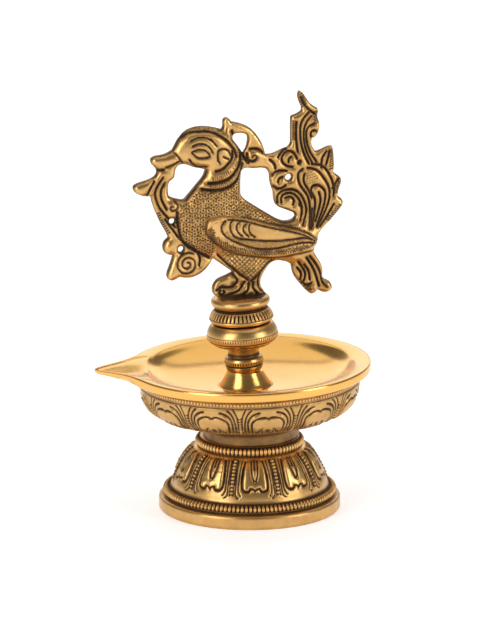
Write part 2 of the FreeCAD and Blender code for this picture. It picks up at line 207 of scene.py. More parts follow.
def brass(name, colours, rough, cast_bump, cloud=0.3):
    """Brass whose darkness attribute, real patina in the hollows plus painted shade on some pieces, runs
    through the four colours, clouded by noise.
    """
    material, nodes, links, shader = new_material(name)
    place = nodes.new("ShaderNodeTexCoord")
    patina_and_shade = add_node(nodes, "ShaderNodeAttribute", attribute_name="patina_and_shade")
    blotch = add_node(nodes, "ShaderNodeTexNoise", Scale=140.0, Detail=5.0, Roughness=0.6)
    grain = add_node(nodes, "ShaderNodeTexNoise", Scale=1900.0, Detail=3.0, Roughness=0.6)
    cloudy = add_node(nodes, "ShaderNodeMath", operation="MULTIPLY_ADD")
    cloudy.inputs[1].default_value = cloud
    ramp = nodes.new("ShaderNodeValToRGB")
    set_stops(ramp, colours)
    links.new(place.outputs["Object"], blotch.inputs["Vector"])
    links.new(place.outputs["Object"], grain.inputs["Vector"])
    centre = add_node(nodes, "ShaderNodeMath", operation="SUBTRACT")
    centre.inputs[1].default_value = 0.5
    links.new(blotch.outputs["Fac"], centre.inputs[0])
    links.new(centre.outputs[0], cloudy.inputs[0])
    links.new(patina_and_shade.outputs["Fac"], cloudy.inputs[2])
    links.new(cloudy.outputs[0], ramp.inputs["Fac"])
    links.new(ramp.outputs["Color"], shader.inputs["Base Color"])
    spread = add_node(nodes, "ShaderNodeMapRange")
    spread.inputs["To Min"].default_value, spread.inputs["To Max"].default_value = rough
    links.new(cloudy.outputs[0], spread.inputs["Value"])
    links.new(spread.outputs["Result"], shader.inputs["Roughness"])
    metal = add_node(nodes, "ShaderNodeMapRange")
    metal.inputs["To Min"].default_value, metal.inputs["To Max"].default_value = 1.0, 0.55
    links.new(cloudy.outputs[0], metal.inputs["Value"])
    links.new(metal.outputs["Result"], shader.inputs["Metallic"])
    bump = add_node(nodes, "ShaderNodeBump", Strength=cast_bump, Distance=0.0002)
    links.new(grain.outputs["Fac"], bump.inputs["Height"])
    links.new(bump.outputs["Normal"], shader.inputs["Normal"])
    return material


def plain_material(name, low, high, scale, metallic, roughness, bump_strength):
    """A simple finish whose colour wanders between two tones."""
    material, nodes, links, shader = new_material(name)
    place = nodes.new("ShaderNodeTexCoord")
    noise = add_node(nodes, "ShaderNodeTexNoise", Scale=scale, Detail=4.0)
    ramp = nodes.new("ShaderNodeValToRGB")
    ramp.color_ramp.elements[0].color, ramp.color_ramp.elements[1].color = (*low, 1), (*high, 1)
    bump = add_node(nodes, "ShaderNodeBump", Strength=bump_strength, Distance=0.0002)
    links.new(place.outputs["Object"], noise.inputs["Vector"])
    links.new(noise.outputs["Fac"], ramp.inputs["Fac"])
    links.new(ramp.outputs["Color"], shader.inputs["Base Color"])
    links.new(noise.outputs["Fac"], bump.inputs["Height"])
    links.new(bump.outputs["Normal"], shader.inputs["Normal"])
    shader.inputs["Metallic"].default_value = metallic
    shader.inputs["Roughness"].default_value = roughness
    return material


SLOTS = {"antique_finish": "antique_brass", "bird_finish": "bird_brass", "polished_finish": "polished_brass",
         "steel_finish": "steel", "fibre_finish": "fibre"}
ANTIQUE = [(0.0, (0.76, 0.455, 0.165)), (0.28, (0.49, 0.275, 0.09)), (0.6, (0.13, 0.066, 0.025)),
           (1.0, (0.018, 0.011, 0.007))]
POLISHED = [(0.0, (0.90, 0.50, 0.135)), (0.35, (0.72, 0.385, 0.11)), (0.7, (0.22, 0.115, 0.035)),
            (1.0, (0.04, 0.022, 0.010))]
antique = brass("antique_finish", ANTIQUE, (0.28, 0.60), 0.25, cloud=0.42)
bird_brass = brass("bird_finish", ANTIQUE, (0.28, 0.62), 0.28, cloud=0.40)
polished = brass("polished_finish", POLISHED, (0.20, 0.42), 0.06, cloud=0.22)
steel = plain_material("steel_finish", (0.42, 0.42, 0.41), (0.60, 0.60, 0.58), 500, 1.0, 0.36, 0.1)
fibre = plain_material("fibre_finish", (0.20, 0.10, 0.06), (0.34, 0.19, 0.11), 900, 0.0, 0.7, 0.4)
for finish in (antique, bird_brass, polished, steel, fibre):
    finish["slot"] = SLOTS[finish.name]


# ---------------------------------------------------------------- relief shared by the turned pieces
def groove(distance, depth, width):
    return depth * np.exp(-(distance / width) ** 2)


def bead_row(theta, height, count, middle, half_height, lift, phase=0.0):
    """Push and darkness of one row of round beads at a height."""
    beat = ((theta * count / (2 * np.pi) + phase) % 1.0 - 0.5) * 2.15
    up = (height - middle) / half_height
    dome = np.sqrt(np.maximum(0, 1 - beat[None, :] ** 2 - up[:, None] ** 2))
    inside = (np.abs(up) < 1.25)[:, None]
    return np.where(inside, lift * dome, 0), np.where(inside, 0.85 * (1 - dome) ** 1.5, 0)


def petal_tile(profile, columns, count, z_low, z_high, lines, bosses, strip):
    """Engraved petals on a turned piece. Lines hold (share of the half pitch, height) points."""
    zone = np.where((profile[:, 1] >= z_low) & (profile[:, 1] <= z_high) & outer_side(profile))[0]
    part = profile[zone]
    along = np.concatenate([[0], np.cumsum(np.linalg.norm(np.diff(part, axis=0), axis=1))])
    per = columns // count
    share = (np.arange(per) + 0.5) / per * 2 - 1
    half_pitch = np.pi / count
    u = share[None, :] * half_pitch * part[:, :1]
    v = np.repeat(along[:, None], per, 1)

    def to_plane(points):
        z = np.array([q[1] for q in points])
        r = np.interp(z, part[:, 1], part[:, 0])
        return [(q[0] * half_pitch * rr, np.interp(q[1], part[:, 1], along)) for q, rr in zip(points, r)]

    push, dark = np.zeros(u.shape), np.zeros(u.shape)
    for points, depth, width in lines:
        both = [to_plane(points), to_plane([(-a, b) for a, b in points])]
        away = line_distance(u, v, both)
        push = np.minimum(push, -depth * groove(away, 1.0, width))
        dark = np.maximum(dark, np.exp(-(away / (1.25 * width)) ** 2))
        dark = np.maximum(dark, 0.30 * np.exp(-away / (1.6 * width)))
        push -= 0.22 * depth * np.exp(-(away / (2.6 * width)) ** 2)
    for (a, b), radius, lift in bosses:
        (cu, cv), = to_plane([(a, b)])
        d = np.hypot(u - cu, v - cv)
        push += lift * np.sqrt(np.maximum(0, 1 - (d / radius) ** 2))
        dark = np.maximum(dark, np.exp(-((d - radius) / 0.3) ** 2) * 0.9)
    body_low, body_high, body_share, lift = strip["body"]
    inside = (1 - smooth_step(body_share - 0.12, body_share + 0.03, np.abs(share)))[None, :]
    inside = inside * smooth_step(body_low - 0.5, body_low + 1.2, part[:, 1])[:, None]
    inside = inside * (1 - smooth_step(body_high - 1.2, body_high + 0.5, part[:, 1]))[:, None]
    push += lift * inside
    dark = np.maximum(dark, 0.14 * (1 - inside))
    # the dotted strip between neighbouring petals
    side = (1 - np.abs(share))[None, :] * half_pitch * part[:, :1]
    beat = (along[:, None] / strip["pitch"]) % 1.0 - 0.5
    dome = np.sqrt(np.maximum(0, 1 - (side / strip["half"]) ** 2 - (beat * 2.25) ** 2))
    window = (part[:, 1] > strip["low"]) & (part[:, 1] < strip["high"])
    push += np.where(window[:, None], strip["lift"] * dome, 0)
    on_strip = window[:, None] & (side < strip["half"] * 1.45)
    push -= np.where(on_strip, 0.30, 0)
    dark = np.where(on_strip, 0.9 * (1 - dome) ** 1.2, dark)
    return zone, push, dark


def outer_side(profile):
    """True on the rows that face outwards: the run that climbs."""
    run = np.roll(profile, -1, 0) - np.roll(profile, 1, 0)
    return run[:, 1] > 1e-4


UNEVEN_ROWS = 5             # rows of a petal that share one strength of cut
UNEVEN_BLUR = 15            # columns over which the strength changes


def spin_to(tile, columns, count, at_degrees):
    """Repeats one petal round the piece, its middle at the given angle, each cut a little unevenly."""
    per = columns // count
    start = int(round((at_degrees / 360 * columns) - per / 2))
    uneven = rng.uniform(0.78, 1.12, (tile.shape[0] // UNEVEN_ROWS + 2, count * 3))
    rows = np.minimum(np.arange(tile.shape[0]) // UNEVEN_ROWS, uneven.shape[0] - 1)
    uneven = np.repeat(uneven[rows], per // 3 + 1, axis=1)[:, :columns]
    half = UNEVEN_BLUR // 2
    ring = np.cumsum(np.concatenate([uneven[:, -half:], uneven, uneven[:, :half + 1]], 1), 1)
    change = (ring[:, UNEVEN_BLUR:] - ring[:, :-UNEVEN_BLUR])[:, :columns]
    return np.roll(np.tile(tile, (1, count)) * change / UNEVEN_BLUR, start, axis=1)


def petals(profile, columns, count, at_degrees, z_low, z_high, lines, bosses, strip):
    """Push and darkness over a whole turned piece from its ring of engraved petals."""
    zone, push, dark = petal_tile(profile, columns, count, z_low, z_high, lines, bosses, strip)
    whole = np.zeros((2, len(profile), columns))
    whole[0, zone] = spin_to(push, columns, count, at_degrees)
    whole[1, zone] = spin_to(dark, columns, count, at_degrees)
    return whole


# ---------------------------------------------------------------- pedestal
FOOT_COLUMNS = 1260
foot_section = section([
    ([(38.9, 0), (41.5, 0)], 0.9), ([(41.5, 0), (42.1, 0.8)], 0.3), ([(42.1, 0.8), (42.1, 4.8)], 0.8),
    ([(42.1, 4.8), (41.8, 5.8), (41.0, 6.3)], 0.35), ([(41.0, 6.3), (39.9, 6.4)], 0.4),
    ([(39.9, 6.4), (39.0, 6.8), (38.9, 7.5)], 0.3), ([(38.9, 7.5), (38.9, 8.8), (38.3, 9.8),
      (37.5, 10.2)], 0.22),
    ([(37.5, 10.2), (33.9, 10.2)], 1.2), ([(33.9, 10.2), (36.6, 6.6), (38.4, 3.0), (38.9, 0)], 2.0),
])


def foot_relief(theta, profile):
    push, dark = bead_row(theta, profile[:, 1], FOOT_BEADS, 8.8, 1.45, 1.3)
    outside = (profile[:, 0] > 37.4)[:, None] & (profile[:, 1] > 7.2)[:, None]
    push, dark = np.where(outside, push, 0), np.where(outside, dark, 0)
    neck = np.exp(-((profile[:, 1] - 6.8) / 0.45) ** 2)[:, None] * 0.85
    satin = (0.12 + 0.10 * (profile[:, 1] < 1.0))[:, None]
    return push, np.maximum(np.maximum(dark, neck), satin)


foot_band = turned("foot_band", foot_section, FOOT_COLUMNS, antique, "pedestal", foot_relief)
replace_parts(foot_band, "pedestal")

SKIRT_COLUMNS = 720
skirt_section = section([
    ([(33.9, 10.2), (37.4, 10.2)], 1.2), ([(37.4, 10.2), (36.4, 11.4), (36.0, 13.0), (35.4, 15.0),
      (33.8, 19.0), (31.7, 23.0), (29.6, 26.2), (26.8, 28.8), (24.2, 29.9)], 0.34),
    ([(24.2, 29.9), (24.3, 31.0), (24.3, 32.4), (23.6, 33.6), (23.2, 33.8)], 0.3),
    ([(23.2, 33.8), (22.9, CROWN_Z)], 0.3), ([(22.9, CROWN_Z), (HOLE_R, CROWN_Z)], 3.5),
    ([(HOLE_R, CROWN_Z), (HOLE_R, 30.4)], 1.9), ([(HOLE_R, 30.4), (17.0, 30.4)], 3.5),
    ([(17.0, 30.4), (21.5, 28.2), (26.2, 24.8), (28.8, 21.0), (31.0, 17.0), (32.6, 13.0), (33.9, 10.2)], 2.0),
])
FOOT_LINES = [
    ([(0.44, 28.9), (0.53, 26.0), (0.58, 22.0), (0.58, 18.8), (0.52, 16.9), (0.38, 16.2), (0.24, 16.6),
      (0.20, 17.6)], 0.95, 0.46),
    ([(0.20, 17.6), (0.09, 17.4), (0.0, 16.4)], 0.75, 0.40),
    ([(0.15, 28.9), (0.15, 26.0), (0.11, 22.6), (0.05, 20.8)], 0.6, 0.34),
    ([(0.0, 29.0), (0.0, 25.4)], 0.4, 0.42),
    ([(0.63, 28.9), (0.70, 24.0), (0.72, 19.0), (0.70, 16.0), (0.62, 14.4)], 0.55, 0.30),
    ([(0.82, 28.8), (0.83, 23.0), (0.83, 17.5), (0.79, 14.0), (0.70, 13.2)], 0.5, 0.28),
]


def skirt_relief(theta, profile):
    strip = {"body": (16.2, 29.0, 0.55, 0.55), "pitch": 1.7, "half": 0.92,
             "low": 14.0, "high": 29.2, "lift": 0.95}
    all_push, all_dark = petals(profile, SKIRT_COLUMNS, FOOT_PETALS, FOOT_PETAL_AT, 13.0, 29.3, FOOT_LINES,
                                [((0.0, 20.2), 0.7, 0.5)], strip)
    outside = outer_side(profile)[:, None]
    beads, shade = bead_row(theta, profile[:, 1], CROWN_BEADS, 31.9, 1.75, 0.95)
    crown = outside & (profile[:, 1] > 29.8)[:, None]
    all_push = np.where(crown, all_push + beads, all_push)
    all_dark = np.where(crown, np.maximum(all_dark, shade), all_dark)
    low = np.exp(-((profile[:, 1] - 10.4) / 0.9) ** 2)[:, None] * 0.9
    plain = (0.10 * (profile[:, 1] < 13.0))[:, None]
    return all_push, np.where(outside, np.maximum(np.maximum(all_dark, low), plain), all_dark)


turned("foot_skirt", skirt_section, SKIRT_COLUMNS, antique, "pedestal", skirt_relief)

# ---------------------------------------------------------------- cup
CUP_COLUMNS = 840
CUP_BORE_R = 4.0
cup_section = section([
    ([(CUP_BORE_R, CROWN_Z), (22.3, CROWN_Z)], 4.0), ([(22.3, CROWN_Z), (22.3, 36.6)], 0.8),
    ([(22.3, 36.6), (22.8, 39.0), (24.6, 40.5), (28.0, 41.6)], 0.6),
    ([(28.0, 41.6), (36.0, 43.9), (40.0, 45.1)], 0.6),
    ([(40.0, 45.1), (43.0, 46.4), (46.0, 48.3), (48.5, 51.0), (50.0, 54.0), (50.9, 58.2),
      (51.1, 63.0)], 0.32),
    ([(51.1, 63.0), (50.6, 63.6), (50.5, CUP_RIM_Z)], 0.3), ([(50.5, CUP_RIM_Z), (48.8, CUP_RIM_Z)], 0.8),
    ([(48.8, CUP_RIM_Z), (48.5, 58.4), (47.6, 55.2), (45.6, 52.0), (42.4, 49.4), (38.6, 47.8), (30.0, 45.2),
      (22.0, 43.2)], 2.4),
    ([(22.0, 43.2), (CUP_BORE_R, 43.2)], 4.0), ([(CUP_BORE_R, 43.2), (CUP_BORE_R, CROWN_Z)], 3.0),
])
CUP_LINES = [
    ([(0.54, 46.0), (0.58, 50.0), (0.55, 53.2), (0.40, 55.0), (0.22, 55.6), (0.08, 55.5),
      (0.0, 54.9)], 0.75, 0.42),
    ([(0.69, 46.0), (0.72, 50.5), (0.68, 54.4), (0.53, 56.8), (0.30, 57.9)], 0.8, 0.40),
    ([(0.83, 46.3), (0.83, 51.0), (0.78, 55.2), (0.67, 58.0), (0.58, 59.2)], 0.7, 0.36),
    ([(0.93, 49.0), (0.93, 53.0), (0.88, 56.8), (0.78, 59.6)], 0.6, 0.32),
    ([(0.06, 47.0), (0.03, 49.4)], 0.55, 0.32), ([(0.18, 46.8), (0.22, 48.9)], 0.55, 0.32),
    ([(0.33, 47.2), (0.29, 49.0), (0.20, 49.9)], 0.5, 0.30), ([(0.40, 46.6), (0.44, 48.4)], 0.45, 0.28),
]


def cup_relief(theta, profile):
    strip = {"body": (45.6, 56.4, 0.57, 0.55), "pitch": 1.5, "half": 0.8,
             "low": 46.0, "high": 56.0, "lift": 0.6}
    all_push, all_dark = petals(profile, CUP_COLUMNS, CUP_PETALS, CUP_PETAL_AT, 45.1, 60.0, CUP_LINES,
                                [], strip)
    z = profile[:, 1]
    outside = outer_side(profile)[:, None]
    lines = (groove(z - 60.2, 1, 0.3) + groove(z - 63.2, 1, 0.35))[:, None]
    all_push = np.where(outside, all_push - 0.35 * lines, all_push)
    # painted shadow: the top rows of the cup go dark where the dish's overhanging rim shades them; the two
    # grooves are real dark lines
    band = np.maximum(0.8 * lines[:, 0], 0.92 * smooth_step(62.9, 63.9, z))
    band = np.maximum(band, 0.75 * groove(z - 34.4, 1, 0.5) + 0.55 * groove(z - 40.6, 1, 0.8))
    # painted shade: the neck under the bowl is darkened as if the cup shaded it
    band = np.maximum(band, 0.50 * (1 - smooth_step(40.5, 43.0, z)))
    band = np.maximum(band, 0.34 * smooth_step(57.5, 60.0, z))
    band = np.maximum(band, 0.15)
    all_dark = np.where(outside, np.maximum(all_dark, band[:, None]), all_dark)
    return all_push, all_dark


cup = turned("cup_body", cup_section, CUP_COLUMNS, antique, "cup", cup_relief, as_bowl)
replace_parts(cup, "engraved_cup")
# the cup's foot stands level on the crown while the cup above it is tipped
for vertex in cup.data.vertices:
    vertex.co.z = max(vertex.co.z, CROWN_Z * MM)

beading_section = section([
    ([(50.2, 60.7), (50.95, 60.9)], 0.5), ([(50.95, 60.9), (51.05, 61.8), (50.95, 62.7)], 0.2),
    ([(50.95, 62.7), (50.2, 62.9)], 0.5), ([(50.2, 62.9), (50.2, 60.7)], 1.2),
])


def beading_relief(theta, profile):
    push, dark = bead_row(theta, profile[:, 1], RIM_BEADS, 61.8, 0.85, 0.55)
    outer = profile[:, :1] > 50.8
    return np.where(outer, push, 0), np.where(outer, dark, 0.9)


turned("cup_beading", beading_section, 1600, antique, "cup", beading_relief, as_bowl)

# ---------------------------------------------------------------- oil dish with its leaf-shaped spout
SPOUT_START = 26.0          # degrees from the spout's middle where the round rim ends
BOWL = smooth_curve([(HOLE_R, DISH_FLOOR_Z), (15.0, DISH_FLOOR_Z), (24.0, 58.7), (34.0, 59.9), (41.0, 61.9),
                     (46.0, 64.8), (49.4, 67.9)], 0.5)
UNDER = smooth_curve([(HOLE_R, 56.0), (14.0, 56.0), (24.0, 56.5), (34.0, 57.6), (41.0, 59.4), (45.4, 61.4),
                      (48.2, CUP_RIM_Z)], 0.5)
SPOUT_EDGE = [(-54.6, 17.6), (-58.5, 12.9), (-63.0, 9.0), (-67.0, 5.7), (-70.0, 2.8), (-71.5, 0.0)]
CHANNEL_EDGE = [(-51.0, 17.7), (-55.6, 13.9), (-60.0, 10.3), (-64.6, 6.5), (-68.4, 3.2), (-70.7, 0.0)]
CHANNEL = [(-38.0, 24.0, 0.6), (-42.0, 22.4, 1.6), (-46.0, 20.8, 2.4), (-51.0, 17.9, 2.9), (-55.6, 14.1, 2.9),
           (-60.0, 10.5, 2.5), (-64.6, 6.7, 1.9), (-68.4, 3.4, 1.1), (-70.7, 1.0, 0.3)]
KEEL = [(-46.0, 27.0, 7.0), (-54.0, 17.8, 5.6), (-63.0, 9.0, 3.8), (-70.0, 3.4, 1.7), (-71.8, 1.2, 0.9)]


def plan_curve(radius, edge, round_count, spout_count):
    """Plan outline: the round rim, then one spout side to the tip and back."""
    angle = np.radians(180 - SPOUT_START)
    start = (radius * math.cos(angle), radius * math.sin(angle))
    lead = np.radians(180 - SPOUT_START - 5)
    path = smooth_curve([(radius * math.cos(lead), radius * math.sin(lead)), start] + edge, 0.05)
    begin = np.argmin(np.hypot(*(path - start).T))
    path = path[begin:]
    length = np.concatenate([[0], np.cumsum(np.linalg.norm(np.diff(path, axis=0), axis=1))])
    t = np.linspace(0, length[-1], spout_count + 1)
    side = np.column_stack([np.interp(t, length, path[:, 0]), np.interp(t, length, path[:, 1])])
    spin = np.linspace(-angle, angle, round_count, endpoint=False)
    rim = np.column_stack([radius * np.cos(spin), radius * np.sin(spin)])
    return np.concatenate([rim, side[:-1], side[-1:], side[1:-1][::-1] * (1, -1)])


def table_at(x, table, column):
    rows = np.array(table)[::-1]
    return np.interp(x, rows[:, 0], rows[:, column])


def soft_min(a, b, blend):
    h = np.clip(0.5 + 0.5 * (b - a) / blend, 0, 1)
    return b * (1 - h) + a * h - blend * h * (1 - h)


def dish_top(x, y):
    r = np.hypot(x, y)
    bowl = np.interp(r, np.append(BOWL[:, 0], 80), np.append(BOWL[:, 1], 67.9))
    width = table_at(x, CHANNEL, 1)
    cut = RIM_Z + 0.1 - table_at(x, CHANNEL, 2) * np.clip(1 - np.abs(y / width) ** 1.08, 0, 1)
    return np.where(x < -38, soft_min(bowl, cut, 1.0), bowl)


def dish_under(x, y):
    r = np.hypot(x, y)
    flange = np.interp(r, np.append(UNDER[:, 0], 80), np.append(UNDER[:, 1], CUP_RIM_Z))
    width = table_at(x, KEEL, 1)
    keel = RIM_Z - 0.2 - table_at(x, KEEL, 2) * np.sqrt(np.clip(1 - (y / width) ** 2, 0, 1))
    joined = soft_min(flange, keel, 0.8)
    near = smooth_step(51.4, 53.6, r) * (x < -38)
    past = smooth_step(55.8, 58.4, r)
    return (flange * (1 - near) + joined * near) * (1 - past) + keel * past


DISH_R, BOWL_EDGE_R = 56.1, 49.4
ROUND_COLUMNS, SPOUT_COLUMNS = 420, 90
SEAT_RING_R = 12.2          # painted shade: radius of a dark ring on the dish floor where the cone stands


def oil_dish():
    rim = plan_curve(DISH_R, SPOUT_EDGE, ROUND_COLUMNS, SPOUT_COLUMNS)
    lip = plan_curve(BOWL_EDGE_R, CHANNEL_EDGE, ROUND_COLUMNS, SPOUT_COLUMNS)
    columns = len(rim)
    rows = []

    def row(xy, z):
        rows.append(np.column_stack([xy, z]))

    for t in np.linspace(0, 1, 64) ** 0.85:
        start = lip / np.linalg.norm(lip, axis=1)[:, None] * HOLE_R
        xy = start * (1 - t) + lip * t
        z = dish_top(xy[:, 0], xy[:, 1])
        row(xy, z * (1 - t ** 30) + (RIM_Z - 0.7) * t ** 30)
    for t, z in [(0.10, 68.05), (0.35, 68.3), (0.65, 68.5), (0.84, 68.6), (0.93, 68.5), (0.98, 68.2),
                 (1.0, 67.7)]:
        row(lip * (1 - t) + rim * t, np.full(columns, z))
    low = np.minimum(dish_under(rim[:, 0] * 0.985, rim[:, 1] * 0.985), 66.6)
    for share in (0.3, 0.65, 0.88):
        row(rim, 67.7 * (1 - share) + (low + 0.7) * share)
    for t in np.concatenate([[0.004, 0.012], np.linspace(0.03, 1, 44)]):
        start = rim / np.linalg.norm(rim, axis=1)[:, None] * HOLE_R
        xy = rim * (1 - t) + start * t
        z = dish_under(xy[:, 0], xy[:, 1])
        edge = smooth_step(0, 0.012, np.array(t))
        row(xy, np.minimum((low + 0.7) * (1 - edge) + z * edge, 66.8))
    verts = np.concatenate(rows)
    turn = math.radians(-SPOUT_TURN)
    x = verts[:, 0] * math.cos(turn) - verts[:, 1] * math.sin(turn)
    y = verts[:, 0] * math.sin(turn) + verts[:, 1] * math.cos(turn)
    verts = np.column_stack([x, y, verts[:, 2]])
    faces = grid_faces(len(rows), columns)[:, ::-1]
    # painted shade: a dark ring on the dish floor round the cone's foot
    seat_shade = 0.8 * np.exp(-((np.hypot(x - STACK_FOOT_X, y) - SEAT_RING_R) / 0.45) ** 2)
    seat_shade = seat_shade * (verts[:, 2] > 57.8)
    return make_piece("dish_body", as_bowl(verts), faces, polished, "dish", seat_shade)


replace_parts(oil_dish(), "oil_dish")

# ---------------------------------------------------------------- turned tiers
CORE_R = 0.05               # the tiers are closed on their axis round the hidden stud

ferrule_section = section([
    ([(CORE_R, COLLAR_TOP_Z), (7.5, COLLAR_TOP_Z)], 1.5), ([(7.5, COLLAR_TOP_Z), (8.3, 66.4),
      (8.7, 68.0)], 0.3),
    ([(8.7, 68.0), (8.2, 68.4), (8.8, 68.8)], 0.2), ([(8.8, 68.8), (9.0, 70.4), (8.4, 71.9),
      (7.3, 72.6)], 0.25),
    ([(7.3, 72.6), (7.1, 73.4), (7.1, 74.4), (7.6, FERRULE_TOP_Z)], 0.35), ([(7.6, FERRULE_TOP_Z),
      (CORE_R, FERRULE_TOP_Z)], 1.5),
    ([(CORE_R, FERRULE_TOP_Z), (CORE_R, COLLAR_TOP_Z)], 6.0),
])


def notch_band(theta, z, count, low, high, depth):
    window = smooth_step(low - 0.25, low + 0.25, z) * (1 - smooth_step(high - 0.25, high + 0.25, z))
    cut = (0.5 + 0.5 * np.cos(theta * count)) ** 3
    return window[:, None] * cut[None, :] * depth


def ferrule_relief(theta, profile):
    z = profile[:, 1]
    notches = notch_band(theta, z, FERRULE_NOTCHES, 68.9, 70.3, 0.4)
    rings = (groove(z - 68.4, 1, 0.35) + groove(z - 73.4, 0.9, 0.8))[:, None]
    dark = np.maximum(notches * 2.0, rings)
    return -notches * (profile[:, :1] > 8), np.clip(dark, 0, 0.95)


knob_section = section([
    ([(CORE_R, FERRULE_TOP_Z), (7.6, FERRULE_TOP_Z)], 1.5), ([(7.6, FERRULE_TOP_Z), (11.0, 77.5),
      (13.4, 78.4), (14.4, 79.2)], 0.3),
    ([(14.4, 79.2), (15.9, 80.4)], 0.3), ([(15.9, 80.4), (16.5, 81.6), (16.5, 83.2), (15.9, 85.4),
      (14.9, 87.0), (13.6, KNOB_TOP_Z)], 0.3), ([(13.6, KNOB_TOP_Z), (CORE_R, KNOB_TOP_Z)], 2.0),
      ([(CORE_R, KNOB_TOP_Z), (CORE_R, FERRULE_TOP_Z)], 6.0),
])


def knob_relief(theta, profile):
    z = profile[:, 1]
    wave = groove(z[:, None] - 78.9 - 0.22 * np.sin(26 * theta)[None, :], 1, 0.28)
    notches = notch_band(theta, z, KNOB_NOTCHES, 81.7, 83.1, 0.32)
    edges = (groove(z - 80.6, 0.8, 0.3) + groove(z - 83.5, 0.6, 0.22))[:, None]
    outer = profile[:, :1] > 9
    seam = (0.8 * groove(z - 77.2, 1, 0.6))[:, None]
    dark = np.maximum(np.maximum(wave, notches * 2.2), np.maximum(edges, seam))
    return -(0.4 * wave + notches + 0.3 * edges) * outer, np.clip(dark, 0, 0.95)


ring_section = section([
    ([(CORE_R, KNOB_TOP_Z), (12.4, KNOB_TOP_Z)], 2.0), ([(12.4, KNOB_TOP_Z), (13.7, 88.9), (14.9, 90.4),
      (14.7, 91.6)], 0.25),
    ([(14.7, 91.6), (13.7, 93.4), (12.7, 94.6), (11.7, NOTCHED_TOP_Z)], 0.25), ([(11.7, NOTCHED_TOP_Z),
      (CORE_R, NOTCHED_TOP_Z)], 2.0),
    ([(CORE_R, NOTCHED_TOP_Z), (CORE_R, KNOB_TOP_Z)], 4.0),
])


def ring_relief(theta, profile):
    z = profile[:, 1]
    slots = notch_band(theta, z, RING_SLOTS, 91.5, 94.6, 1.0)
    seams = (groove(z - 88.5, 1.0, 0.5) + groove(z - 95.3, 1.0, 0.5) + groove(z - 91.2, 0.7, 0.25))[:, None]
    outer = profile[:, :1] > 9
    return -(slots + 0.25 * seams) * outer, np.clip(np.maximum(slots * 1.2, seams), 0, 0.95)


for node, shape, columns, relief in [("ferrule", ferrule_section, 528, ferrule_relief),
                                     ("lower_knob", knob_section, 840, knob_relief),
                                     ("notched_ring", ring_section, 736, ring_relief)]:
    tier = turned(node + "_tier", shape, columns, antique, "finial", relief, as_stack)
    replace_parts(tier, node)
    if node == "ferrule":
        for vertex in tier.data.vertices:
            vertex.co.z = max(vertex.co.z, COLLAR_TOP_Z * MM)

